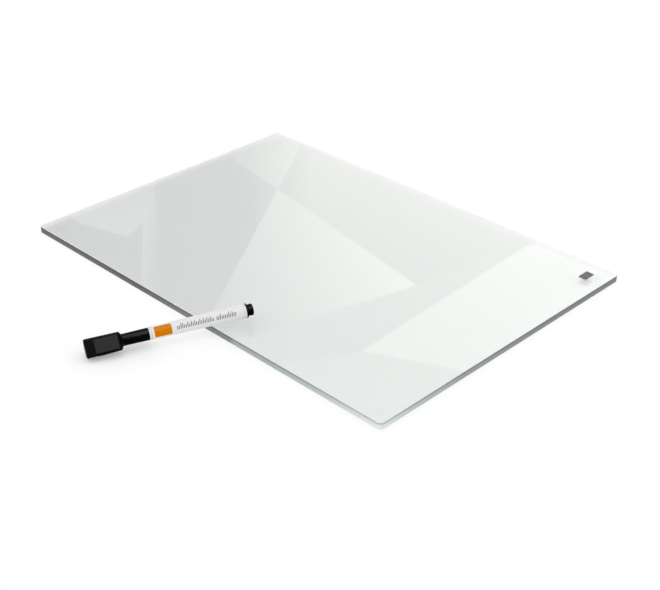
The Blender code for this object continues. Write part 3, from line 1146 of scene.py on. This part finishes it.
@dataclass(frozen=True)
class Cap:
    """The marker's cap: a head with a flat felt face, and the round tube."""

    axis: MarkerAxis
    head_length: float = 0.0295
    half_width: float = 0.0076
    neck_half_width: float = 0.0073
    drop: float = 0.0003
    face_height: float = 0.0062
    back_depth: float = 0.0068
    swell: float = 0.0016
    belly: float = 0.0005
    swell_start: float = 0.0075
    waist_place: float = 0.0117
    corner: float = 0.0010
    face_steps: int = 24
    back_steps: int = 56
    end_round: float = 0.0010
    end_steps: int = 8
    stretch_steps: int = 5
    shoulder: float = 0.0023
    shoulder_steps: int = 12
    shoulder_ease: float = 0.2
    neck_radius: float = 0.0048
    radius: float = 0.0050
    wall: float = 0.0008
    lip_round: float = 0.0002
    bore_depth: float = 0.0240
    chamber_radius: float = 0.0028
    chamber_depth: float = 0.0065
    recess_gap: float = 0.0003
    felt_corner: float = 0.0007
    felt_corner_steps: int = 8
    felt_arris: float = 0.00035
    felt_steps: tuple[int, int, int] = (52, 88, 4)
    felt_lumps: float = 0.00006
    lump_scale: float = 2600.0
    lump_place: float = 0.4
    hair_seed: int = 7
    hair_count: int = 1100
    hair_length: Span = (0.0003, 0.0008)
    hair_lift: Span = (0.00003, 0.00016)
    hair_radius: float = 0.000011
    hair_taper: tuple[float, ...] = (1.0, 0.9, 0.4)
    hair_sides: int = 3

    @property
    def neck_place(self) -> float:
        """Return where along the marker the head's shoulder starts."""
        return self.head_length - self.shoulder

    def build(self, plastic: Finish) -> list[bpy.types.Object]:
        """Build and dress the cap and its felt.

        Args:
            plastic: The cap's finish.

        Returns:
            The pieces.
        """
        shell = self._with_recess(skin(list(self._rings())))
        return [
            make_piece("cap_shell", shell, plastic, Body.CAP, "cap_plastic", "marker_cap"),
            make_piece("felt_pad", self._felt(), WoolFelt(), Body.CAP, "felt", "eraser_felt"),
        ]

    def _waist_share(self, place: float) -> float:
        """Tell how far the head's back swells out.

        Args:
            place: A place along the marker.

        Returns:
            0 at both ends of the swelling and 1 at its waist.
        """
        if place < self.waist_place:
            return max((place - self.swell_start) / (self.waist_place - self.swell_start), 0.0)
        return (self.neck_place - place) / (self.neck_place - self.waist_place)

    def _outline(self, inset: float, place: float) -> list[Point]:
        """Outline the head: flat face at +Y, an oval back and the lower side at -X.

        Args:
            inset: How far the outline is drawn in.
            place: How far along the marker it lies.

        Returns:
            The outline's points.
        """
        narrowing = (self.neck_half_width - self.half_width) * place / self.neck_place
        half = self.half_width + narrowing - inset
        lower_half = half + self.belly * self._waist_share(place)
        back = self.back_depth + self.swell * self._waist_share(place) - inset
        face = self.face_height - inset
        corner = quarter_round(self.corner, CURVE_STEPS)
        front = [(half - advance, face - draw_in) for draw_in, advance in corner]
        flat = half - self.corner
        between = range(1, self.face_steps)
        points = front + [(flat * (1 - 2 * step / self.face_steps), face) for step in between]
        points += [(-x, y) for x, y in reversed(front)]
        for step in range(self.back_steps + 1):
            angle = math.pi * (1 + step / self.back_steps)
            reach = lower_half if math.cos(angle) < 0 else half
            points.append((reach * math.cos(angle), back * math.sin(angle)))
        return [(x - self.drop, y) for x, y in points]

    def _rings(self) -> Iterator[Ring]:
        """Walk down the cap's outside and back up its bore.

        Yields:
            Each section as a ring in the part's frame.
        """
        sections = [
            (advance, self._outline(inset, advance))
            for inset, advance in quarter_round(self.end_round, self.end_steps)
        ]
        turns = (self.end_round, self.swell_start, self.waist_place, self.neck_place)
        for start, end in zip(turns, turns[1:]):
            for step in range(1, self.stretch_steps + 1):
                place = start + (end - start) * step / self.stretch_steps
                sections.append((place, self._outline(0, place)))
        neck = self._outline(0, self.neck_place)

        def circle(radius: float) -> list[Point]:
            """Return a circle whose points lie in the neck outline's directions."""
            return [(x / math.hypot(x, y) * radius, y / math.hypot(x, y) * radius) for x, y in neck]

        pairs = list(zip(neck, circle(self.neck_radius)))
        for step in range(1, self.shoulder_steps + 1):
            share = step / self.shoulder_steps
            ease = share * (1 - self.shoulder_ease + self.shoulder_ease * share * (3 - 2 * share))
            blended = [(a + (c - a) * ease, b + (d - b) * ease) for (a, b), (c, d) in pairs]
            sections.append((self.neck_place + self.shoulder * share, blended))
        sections += [(place, circle(radius)) for radius, place in self._tube()]
        to_frame = self.axis.matrix()
        for place, outline in sections:
            yield [to_frame @ Vector((x, y, place)) for x, y in outline]

    def _tube(self) -> list[Point]:
        """Work out the tube's profile, out to its lip and back in to the chamber's end.

        Returns:
            The (radius, place) points.
        """
        lip = self.axis.span("marker_cap")[1]
        bore = self.radius - self.wall
        bore_end = lip - self.bore_depth
        outer = quarter_round(self.lip_round, back=True)
        inner = quarter_round(self.lip_round)
        return [
            (self.radius, lip - self.lip_round * 2),
            *((self.radius - inset, lip - advance) for inset, advance in outer),
            *((bore + inset, lip - advance) for inset, advance in inner),
            (bore, bore_end),
            (self.chamber_radius, bore_end - (bore - self.chamber_radius)),
            (self.chamber_radius, bore_end - self.chamber_depth),
        ]

    def _with_recess(self, bm: bmesh.types.BMesh) -> bmesh.types.BMesh:
        """Cut the felt's recess into the head's face.

        Args:
            bm: The cap without its recess.

        Returns:
            The cap with it.
        """
        low, high = self.axis.extent("eraser_felt")
        gap = Vector((self.recess_gap,) * 3)
        high = Vector((high.x, high.y + self.face_height, high.z))
        pad = self._pad(low - gap, high + gap, self.felt_corner + self.recess_gap)
        cap, cutter = to_object("cap_blank", bm), to_object("recess_cutter", pad)
        boolean = cap.modifiers.new("recess", "BOOLEAN")
        boolean.object = cutter
        boolean.operation = "DIFFERENCE"
        boolean.solver = "EXACT"
        graph = bpy.context.evaluated_depsgraph_get()
        cut = bmesh.new()
        cut.from_mesh(cap.evaluated_get(graph).data)
        for thing in (cap, cutter):
            bpy.data.objects.remove(thing, do_unlink=True)
        return cut

    def _pad(self, low: Vector, high: Vector, corner: float) -> bmesh.types.BMesh:
        """Build a plain block with rounded corners in the marker's coordinates.

        Args:
            low: Its lowest corner, across, out of the face and along.
            high: Its highest corner.
            corner: The radius of its corners in the plane of the face.

        Returns:
            The block, in the part's frame.
        """
        centre = (low + high) / 2
        width, length = high.x - low.x, high.z - low.z
        outline = rounded_rectangle(width, length, corner, self.felt_corner_steps)
        place = self.axis.matrix()
        return skin(
            [
                [place @ Vector((centre.x + x, height, centre.z + z)) for x, z in outline]
                for height in (low.y, high.y)
            ]
        )

    def _felt(self) -> bmesh.types.BMesh:
        """Build the felt: a dense lumpy pad with loose hairs on it.

        Returns:
            The felt, in the part's frame.
        """
        low, high = self.axis.extent("eraser_felt")
        place = self.axis.matrix()
        back = place.inverted()
        across, down, deep = self.felt_steps
        bm = bmesh.new()
        grid = []
        for j in range(down + 1):
            spots = (
                self._felt_point(low, high, 2 * i / across - 1, 2 * j / down - 1)
                for i in range(across + 1)
            )
            grid.append([bm.verts.new(place @ spot) for spot in spots])
        for j in range(down):
            for i in range(across):
                bm.faces.new((grid[j][i], grid[j][i + 1], grid[j + 1][i + 1], grid[j + 1][i]))
        rim = grid[0][:-1] + [row[-1] for row in grid[:-1]]
        rim += grid[-1][:0:-1] + [row[0] for row in grid[:0:-1]]
        upper = rim
        for step in range(1, deep + 1):
            lower = []
            for vertex in rim:
                flat = back @ vertex.co
                height = flat.y + (low.y - flat.y) * step / deep
                lower.append(bm.verts.new(place @ Vector((flat.x, height, flat.z))))
            for index in range(len(rim)):
                after = (index + 1) % len(rim)
                bm.faces.new((upper[index], upper[after], lower[after], lower[index]))
            upper = lower
        bm.faces.new(upper)
        self._grow_hairs(bm, low, high, place)
        bmesh.ops.recalc_face_normals(bm, faces=bm.faces)
        return bm

    def _felt_point(self, low: Vector, high: Vector, u: float, v: float) -> Vector:
        """Find a point of the felt's face, with its rounded corners and arris and its lumps.

        Args:
            low: The felt's lowest corner in the marker's coordinates.
            high: Its highest corner.
            u: The point's place across the face, from -1 to 1.
            v: Its place along the marker, from -1 to 1.

        Returns:
            The point in the marker's coordinates.
        """
        centre = (low + high) / 2
        half_x, half_z = (high.x - low.x) / 2, (high.z - low.z) / 2
        x, z = u * half_x, v * half_z
        straight_x, straight_z = half_x - self.felt_corner, half_z - self.felt_corner
        over_x, over_z = abs(x) - straight_x, abs(z) - straight_z
        if over_x > 0 and over_z > 0:
            squeeze = max(over_x, over_z) / math.hypot(over_x, over_z)
            x = math.copysign(straight_x + over_x * squeeze, x)
            z = math.copysign(straight_z + over_z * squeeze, z)
            inset = self.felt_corner - max(over_x, over_z)
        else:
            inset = min(half_x - abs(x), half_z - abs(z))
        fall = min(max(self.felt_arris - inset, 0), self.felt_arris)
        drop = self.felt_arris - math.sqrt(self.felt_arris**2 - fall**2)
        lump = noise.fractal(Vector((x, z, self.lump_place)) * self.lump_scale, 1.0, 2.0, 3)
        depth = (lump * 0.5 - 0.5) * self.felt_lumps if inset > 0 else 0
        return Vector((centre.x + x, high.y - drop + depth, centre.z + z))

    def _grow_hairs(self, bm: bmesh.types.BMesh, low: Vector, high: Vector, place: Matrix) -> None:
        """Lay loose hairs over the felt's face.

        Args:
            bm: The felt's solid.
            low: The felt's lowest corner in the marker's coordinates.
            high: Its highest corner.
            place: The matrix from those coordinates to the part's frame.
        """
        draw = random.Random(self.hair_seed)
        margin = self.felt_arris * 2
        for _ in range(self.hair_count):
            x = draw.uniform(low.x + margin, high.x - margin)
            z = draw.uniform(low.z + margin, high.z - margin)
            heading = draw.uniform(0, math.tau)
            length = draw.uniform(*self.hair_length)
            lift = draw.uniform(*self.hair_lift)
            start = Vector((x, high.y - self.felt_lumps, z))
            reach = Vector((math.cos(heading), 0, math.sin(heading))) * length
            side = Vector((-math.sin(heading), 0, math.cos(heading)))
            points = (start, start + reach * 0.5 + Vector((0, lift, 0)), start + reach)
            rings = []
            for point, share in zip(points, self.hair_taper):
                ring = []
                for corner in range(self.hair_sides):
                    angle = corner / self.hair_sides * math.tau
                    offset = side * math.cos(angle) + Vector((0, math.sin(angle), 0))
                    ring.append(place @ (point + offset * self.hair_radius * share))
                rings.append(ring)
            join_rings(bm, rings)


def softened(
    side: float, end: float, turn: float, steps: int = ARRIS_STEPS, way: int = 1
) -> list[Point]:
    """Round the corner between a profile's side and one of its ends.

    Args:
        side: The side's radius.
        end: Where the end lies along the marker.
        turn: The corner's radius.
        steps: How many steps it takes.
        way: 1 if the side lies after the end along the marker, -1 if before it.

    Returns:
        The (radius, place) points from the end to the side.
    """
    return [(side - inset, end + way * advance) for inset, advance in quarter_round(turn, steps)]


@dataclass(frozen=True)
class Marker:
    """The marker without its cap: barrel, film, nib holder, nib, reservoir and plug."""

    axis: MarkerAxis
    front_radius: float = 0.00515
    rear_radius: float = 0.0059
    wall: float = 0.00145
    rim: float = 0.0015
    rim_round: float = 0.0002
    waist_drop: float = 0.0004
    film_thickness: float = 0.0002
    film_steps: int = 24
    seat_gap: float = 0.0003
    nose_wall: float = 0.0006
    collar_length: float = 0.0125
    collar_round: float = 0.0001
    chamfer: float = 0.0003
    nib_radius: float = 0.0017
    nib_round: float = 0.0012
    cap_bore: float = 0.0042
    flange: float = 0.0008
    flange_round: float = 0.0001
    neck_drop: float = 0.0013
    neck_length: float = 0.0014
    button_drop: float = 0.0011
    button_round: float = 0.0012
    plug_spigot: float = 0.0065

    @cached_property
    def ends(self) -> Span:
        """Return where the barrel starts and ends along the marker."""
        return self.axis.span("marker_barrel")

    def skin_radius(self, at: float) -> float:
        """Return the radius of the film's surface at a place."""
        widening = (self.rear_radius - self.front_radius) * (at - self.ends[0])
        return self.front_radius + widening / (self.ends[1] - self.ends[0])

    def build(self, black: Finish, white: Finish) -> list[bpy.types.Object]:
        """Build and dress the marker's pieces.

        Args:
            black: The finish of the holder and the plug.
            white: The barrel's finish.

        Returns:
            The pieces.
        """
        print_finish = PrintedFilm(self.axis, (self.front_radius + self.rear_radius) / 2)
        inked = Fibre(
            self.axis, "inked_nib_fibre", dark=(0.010, 0.010, 0.012), light=(0.030, 0.030, 0.034)
        )
        wick = Fibre(
            self.axis, "reservoir_fibre", dark=(0.30, 0.30, 0.31), light=(0.62, 0.62, 0.60)
        )
        rows = (
            ("barrel_tube", self._barrel(), True, white, "barrel_plastic", "marker_barrel"),
            ("label_film", self._film(), True, print_finish, "printed_film", "barrel_label"),
            ("holder_nose", self._holder(), True, black, "cap_plastic", "nib_holder"),
            ("bullet_nib", self._nib(), False, inked, "nib_fibre", "felt_nib"),
            ("ink_rod", self._rod(), False, wick, "ink_fibre", "ink_reservoir"),
            ("rear_plug", self._plug(), False, black, "cap_plastic", "end_plug"),
        )
        place = self.axis.matrix()
        return [
            make_piece(name, turned(profile, place, closed), finish, Body.MARKER, slot, node)
            for name, profile, closed, finish, slot, node in rows
        ]

    def _barrel(self) -> list[Point]:
        """Work out the barrel, with a waist for the film between its rims.

        Returns:
            The (radius, place) points.
        """
        start, end = self.ends
        front, rear = start + self.rim, end - self.rim
        soft = self.rim_round
        radius = self.skin_radius
        return [
            (radius(start) - self.wall, start),
            *softened(radius(start), start, soft),
            (radius(front), front - soft / 2),
            (radius(front), front),
            (radius(front) - self.waist_drop, front),
            (radius(rear) - self.waist_drop, rear),
            (radius(rear), rear),
            (radius(rear), rear + soft / 2),
            *reversed(softened(radius(end), end, soft, way=-1)),
            (radius(end) - self.wall, end),
        ]

    def _film(self) -> list[Point]:
        """Work out the film between the barrel's rims.

        Returns:
            The (radius, place) points.
        """
        start, end = self.axis.span("barrel_label")
        steps = range(self.film_steps + 1)
        outer = [start + (end - start) * step / self.film_steps for step in steps]
        film = [(self.skin_radius(at), at) for at in outer]
        return film + [(radius - self.film_thickness, at) for radius, at in reversed(film)]

    def _holder(self) -> list[Point]:
        """Work out the nib holder: spigot, collar and nose.

        Returns:
            The (radius, place) points.
        """
        nose_start, spigot_end = self.axis.span("nib_holder")
        bore = self.nib_radius + self.seat_gap
        spigot = self.front_radius - self.wall - self.seat_gap
        collar = self.cap_bore - self.seat_gap
        collar_end = self.ends[0] - self.seat_gap
        collar_start = collar_end - self.collar_length
        nose = bore + self.nose_wall
        return [
            (bore, spigot_end),
            (spigot - self.chamfer, spigot_end),
            (spigot, spigot_end - self.chamfer),
            (spigot, collar_end),
            (collar - self.collar_round, collar_end),
            (collar, collar_end - self.collar_round),
            *reversed(softened(collar, collar_start, self.chamfer)),
            *reversed(softened(nose, nose_start, self.chamfer)),
            (bore, nose_start),
        ]

    def _nib(self) -> list[Point]:
        """Work out the bullet nib and its shank.

        Returns:
            The (radius, place) points.
        """
        start, end = self.axis.span("felt_nib")
        holder_end = self.axis.span("nib_holder")[1]
        shank = self.nib_radius - self.seat_gap
        return [
            (0.0, start),
            *softened(self.nib_radius, start, self.nib_round, CURVE_STEPS),
            (self.nib_radius, holder_end),
            (shank, holder_end),
            (shank, end),
            (0.0, end),
        ]

    def _rod(self) -> list[Point]:
        """Work out the ink reservoir, with the socket that the nib's shank reaches into.

        Returns:
            The (radius, place) points.
        """
        start, end = self.axis.span("ink_reservoir")
        socket_end = self.axis.span("felt_nib")[1] + self.seat_gap
        radius = self.skin_radius(start) - self.wall - self.seat_gap
        socket = [(0.0, socket_end), (self.nib_radius, socket_end), (self.nib_radius, start)]
        front = [(radius - self.chamfer, start), (radius, start + self.chamfer)]
        rear = [(radius, end - self.chamfer), (radius - self.chamfer, end), (0.0, end)]
        return [*socket, *front, *rear]

    def _plug(self) -> list[Point]:
        """Work out the rear plug: spigot, flange, hollowed neck and rounded button.

        Returns:
            The (radius, place) points.
        """
        start, end = self.axis.span("end_plug")
        barrel_end = self.ends[1]
        seat = barrel_end + self.seat_gap
        spigot = self.skin_radius(barrel_end - self.plug_spigot) - self.wall - self.seat_gap
        flange_end = seat + self.flange
        plug = [
            (0.0, start),
            (spigot - self.chamfer, start),
            (spigot, start + self.chamfer),
            (spigot, seat),
            (self.rear_radius - self.flange_round, seat),
            (self.rear_radius, seat + self.flange_round),
            (self.rear_radius, flange_end),
        ]
        for step in range(1, CURVE_STEPS + 1):
            turn = step / CURVE_STEPS * math.pi / 2
            radius = self.rear_radius - self.neck_drop * math.sin(turn)
            plug.append((radius, flange_end + self.neck_length * (1 - math.cos(turn))))
        button = self.rear_radius - self.button_drop
        plug += reversed(softened(button, end, self.button_round, CURVE_STEPS, way=-1))
        return [*plug, (0.0, end)]


@dataclass(frozen=True)
class Panel:
    """A studio panel placed so that its reflection falls on a patch of the writing face.

    The patch is in metres on the face, from its middle. The glow goes evenly from one value
    to another between two points of it.
    """

    name: str
    patch: tuple[Point, ...]
    glow: Span
    towards: tuple[Point, Point]

    def glow_at(self, point: Point) -> float:
        """Work out the panel's glow where its reflection falls on a point.

        Args:
            point: The point on the writing face.

        Returns:
            The glow.
        """
        (ax, ay), (bx, by) = self.towards
        run = (bx - ax) ** 2 + (by - ay) ** 2
        share = ((point[0] - ax) * (bx - ax) + (point[1] - ay) * (by - ay)) / run
        return self.glow[0] + (self.glow[1] - self.glow[0]) * share


@dataclass(frozen=True)
class Studio:
    """Floor, lights, reflected panels and camera, all placed from the sheet's middle."""

    camera_place: Place = (-0.679223, -0.682197, 0.540635)
    camera_pitch: float = 31.0437
    camera_heading: float = -45.4297
    camera_roll: float = 0.261
    lens: float = 68.5993
    sensor: float = 36.0
    floor_half: float = 9.0
    floor_drop: float = 0.00005
    world_level: float = 0.88
    lamp_energy: float = 0.12
    lamp_angle: float = 50.0
    lamp_tilt: Span = (8.0, -6.0)
    panel_height: float = 1.0
    panel_step: float = 0.004
    softbox_place: Place = (-0.429, -0.307, 1.1)
    softbox_size: Span = (1.20, 1.25)
    softbox_heading: float = -25.0
    softbox_glow: float = 34.0
    softbox_lights: str = "softbox_lights"

    def build(self, panels: Sequence[Panel]) -> None:
        """Build the studio.

        Args:
            panels: The reflected panels, the front one last.
        """
        self.build_camera()
        self.build_floor()
        self.light_world()
        self.hang_lamp()
        self.hang_softbox()
        for order, panel in enumerate(panels):
            self.hang_panel(panel, self.panel_height - order * self.panel_step)

    @staticmethod
    def middle() -> Vector:
        """Return the point of the desk under the sheet's middle."""
        low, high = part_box("acrylic_sheet")
        return Vector(((low.x + high.x) / 2, (low.y + high.y) / 2, 0.0))

    def build_camera(self) -> None:
        """Set the camera where the photograph was taken from."""
        data = bpy.data.cameras.new("photo_camera")
        data.lens = self.lens
        data.sensor_width = self.sensor
        camera = to_scene("photo_camera", data)
        place = Matrix.Translation(self.middle() + Vector(self.camera_place))
        for angle, axis in (
            (self.camera_heading, "Z"),
            (90 - self.camera_pitch, "X"),
            (self.camera_roll, "Z"),
        ):
            place = place @ Matrix.Rotation(math.radians(angle), 4, axis)
        camera.matrix_world = place
        bpy.context.scene.camera = camera

    def build_floor(self) -> None:
        """Lay the pale floor under the object."""
        half = self.floor_half
        bm = bmesh.new()
        corners = ((-half, -half), (half, -half), (half, half), (-half, half))
        bm.faces.new([bm.verts.new((x, y, -self.floor_drop)) for x, y in corners])
        self._stage("studio_floor", bm, DeskFloor())

    def light_world(self) -> None:
        """Light the world softly, and show it as white."""
        world = bpy.data.worlds.new("studio_world")
        world.use_nodes = True
        bpy.context.scene.world = world
        net = Net(world.node_tree)
        level = net.seen_ray() * (1 - self.world_level) + self.world_level
        sky = net.add("Background", {}, {"Color": net.grey(level)})
        net.add("OutputWorld", {}, {"Surface": sky.outputs[0]})

    def hang_lamp(self) -> None:
        """Hang the wide soft lamp overhead."""
        data = bpy.data.lights.new("overhead_lamp", "SUN")
        data.energy = self.lamp_energy
        data.angle = math.radians(self.lamp_angle)
        lamp = to_scene("overhead_lamp", data)
        lamp.rotation_euler = (*(math.radians(angle) for angle in self.lamp_tilt), 0.0)

    def hang_softbox(self) -> None:
        """Hang the box whose light shows only in the marker's gloss."""
        data = bpy.data.lights.new("softbox", "AREA")
        data.shape = "RECTANGLE"
        data.size, data.size_y = self.softbox_size
        data.energy = self.softbox_glow * math.pi * data.size * data.size_y
        softbox = to_scene("softbox", data)
        softbox.location = self.middle() + Vector(self.softbox_place)
        softbox.rotation_euler.z = math.radians(self.softbox_heading)
        softbox.visible_diffuse = False
        softbox.light_linking.receiver_collection = bpy.data.collections.new(self.softbox_lights)

    def light_by_softbox(self, pieces: Sequence[bpy.types.Object]) -> None:
        """Let the softbox light these pieces alone, and keep them out of the mirror images.

        Args:
            pieces: The marker's and the cap's pieces.
        """
        for piece in pieces:
            bpy.data.collections[self.softbox_lights].objects.link(piece)
            piece.visible_glossy = False

    def hang_panel(self, panel: Panel, height: float) -> None:
        """Hang one panel where the camera sees it mirrored in the writing face.

        Args:
            panel: The panel.
            height: How high it hangs.
        """
        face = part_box("acrylic_sheet")[1].z
        middle = self.middle()
        eye = middle + Vector(self.camera_place)
        spread = (height - face + eye.z - face) / (eye.z - face)
        points = []
        for x, y in panel.patch:
            seen = middle + Vector((x, y, 0.0))
            points.append(eye + (seen - eye) * spread)
            points[-1].z = height
        bm = bmesh.new()
        bm.faces.new([bm.verts.new(point) for point in points])
        thing = self._stage(panel.name, bm, PanelGlow())
        glow = thing.data.attributes.new(PanelGlow.attribute, "FLOAT", "POINT")
        for entry, point in zip(glow.data, panel.patch):
            entry.value = panel.glow_at(point)
        thing.visible_camera = False
        thing.visible_diffuse = False
        thing.visible_shadow = False

    @staticmethod
    def _stage(name: str, bm: bmesh.types.BMesh, finish: Finish) -> bpy.types.Object:
        """Turn a mesh into a part of the stage.

        Args:
            name: Its name.
            bm: Its mesh.
            finish: Its finish.

        Returns:
            The object.
        """
        thing = to_object(name, bm)
        thing.data.materials.append(finish.material())
        return thing


# Points of the writing face where several panels' reflections meet, in metres from its middle
CROSS: Point = (0.0557, 0.1122)
NEAR_TIP: Point = (0.0149, -0.1000)
RIGHT_TIP: Point = (0.1314, -0.1251)

# The panels from the rearmost to the front one
PANELS = (
    Panel(
        "panel_dark",
        patch=((-0.3054, -0.3394), (0.297, -0.3374), (0.2939, 0.3426), (-0.3083, 0.3364)),
        glow=(0.01, 0.31),
        towards=((-0.149, 0.129), (0.051, 0.102)),
    ),
    Panel(
        "panel_dark_crease",
        patch=((0.0565, 0.1100), (-0.0400, 0.0470), (0.0942, 0.1988)),
        glow=(0.615, 0.267),
        towards=(CROSS, (0.0320, 0.1305)),
    ),
    Panel(
        "panel_slip",
        patch=(
            (-0.1072, 0.2986), (-0.1187, 0.188), (-0.1035, 0.1374),
            (-0.0515, 0.1627), (-0.0146, 0.2118), (0.0021, 0.2997),
        ),
        glow=(0.39, 0.49),
        towards=((-0.074, 0.211), (-0.084, 0.147)),
    ),
    Panel(
        "panel_strip",
        patch=(
            (-0.0605, 0.1716), (-0.0515, 0.1627), (-0.1411, 0.0475),
            (-0.177, -0.0006), (-0.187, 0.0093), (-0.1442, 0.0653),
        ),
        glow=(0.27, 0.32),
        towards=((-0.101, 0.107), (-0.103, 0.109)),
    ),
    Panel(
        "panel_back_corner",
        patch=(
            CROSS, (0.1414, 0.1693), (0.2943, 0.2646),
            (0.2939, 0.3426), (0.0944, 0.3405), (0.0709, 0.1992),
        ),
        glow=(0.54, 1.06),
        towards=((0.076, 0.188), (0.111, 0.156)),
    ),
    Panel(
        "panel_right",
        patch=(
            CROSS, NEAR_TIP, RIGHT_TIP,
            (0.2962, -0.1653), (0.2943, 0.2646), (0.1414, 0.1693),
        ),
        glow=(0.95, 1.30),
        towards=((0.039, 0.014), (0.161, -0.017)),
    ),
    Panel(
        "panel_right_crease",
        patch=(CROSS, (0.1414, 0.1693), (0.1600, 0.1809), (0.1662, 0.1718), (0.0408, 0.0535)),
        glow=(0.618, 0.977),
        towards=(CROSS, (0.0788, 0.0931)),
    ),
    Panel(
        "panel_rim",
        patch=((0.1445, -0.26), (0.1445, 0.26), (0.1700, 0.26), (0.1700, -0.26)),
        glow=(1.35, 1.75),
        towards=((0.1445, 0.0), (0.1485, 0.0)),
    ),
    Panel(
        "panel_rim_left",
        patch=((-0.26, 0.2075), (0.1485, 0.2075), (0.1485, 0.26), (-0.26, 0.26)),
        glow=(0.30, 1.20),
        towards=((0.0, 0.2075), (0.0, 0.2100)),
    ),
    Panel(
        "panel_wedge",
        patch=(
            NEAR_TIP, (-0.1365, -0.0590), (-0.1866, -0.0450),
            (-0.1880, -0.0820), (-0.0912, -0.1385), RIGHT_TIP,
        ),
        glow=(0.78, 1.22),
        towards=((-0.135, -0.097), (0.077, -0.134)),
    ),
    Panel(
        "panel_near",
        patch=(
            (-0.1866, -0.0803), (-0.3063, -0.1207), (-0.3054, -0.3394),
            (0.005, -0.3384), (-0.0564, -0.2056), (-0.0912, -0.1375),
        ),
        glow=(0.93, 1.20),
        towards=((-0.143, -0.115), (-0.084, -0.216)),
    ),
    Panel(
        "panel_kite",
        patch=(
            CROSS, (-0.1219, -0.0042), (-0.1768, -0.0404),
            (-0.2066, -0.0430), (-0.1365, -0.0610), NEAR_TIP,
        ),
        glow=(0.53, 1.60),
        towards=((-0.090, 0.025), (0.027, -0.058)),
    ),
    Panel(
        "panel_bright",
        patch=(
            (0.1314, -0.1235), (-0.0912, -0.1357), (-0.0564, -0.2056),
            (0.005, -0.3384), (0.297, -0.3374), (0.2962, -0.1635),
        ),
        glow=(1.50, 2.00),
        towards=((-0.052, -0.104), (0.119, -0.232)),
    ),
)


def main() -> None:
    """Build the studio and the object's pieces in order."""
    logging.basicConfig(level=logging.INFO, format="%(name)s: %(message)s")
    bpy.context.scene.view_settings.view_transform = "Standard"
    studio = Studio()
    studio.build(PANELS)
    axis = MarkerAxis.from_frame()
    black = MouldedPlastic(
        name="black_moulded_plastic",
        dark=(0.0008, 0.0009, 0.0012),
        light=(0.0014, 0.0016, 0.0020),
        roughness=0.34,
        specular=0.015,
    )
    white = MouldedPlastic(
        name="white_moulded_plastic",
        dark=(0.80, 0.80, 0.81),
        light=(0.84, 0.84, 0.85),
        roughness=0.36,
        specular=0.025,
    )
    Board().build()
    studio.light_by_softbox(Cap(axis).build(black) + Marker(axis).build(black, white))


if __name__ == "__main__":
    main()
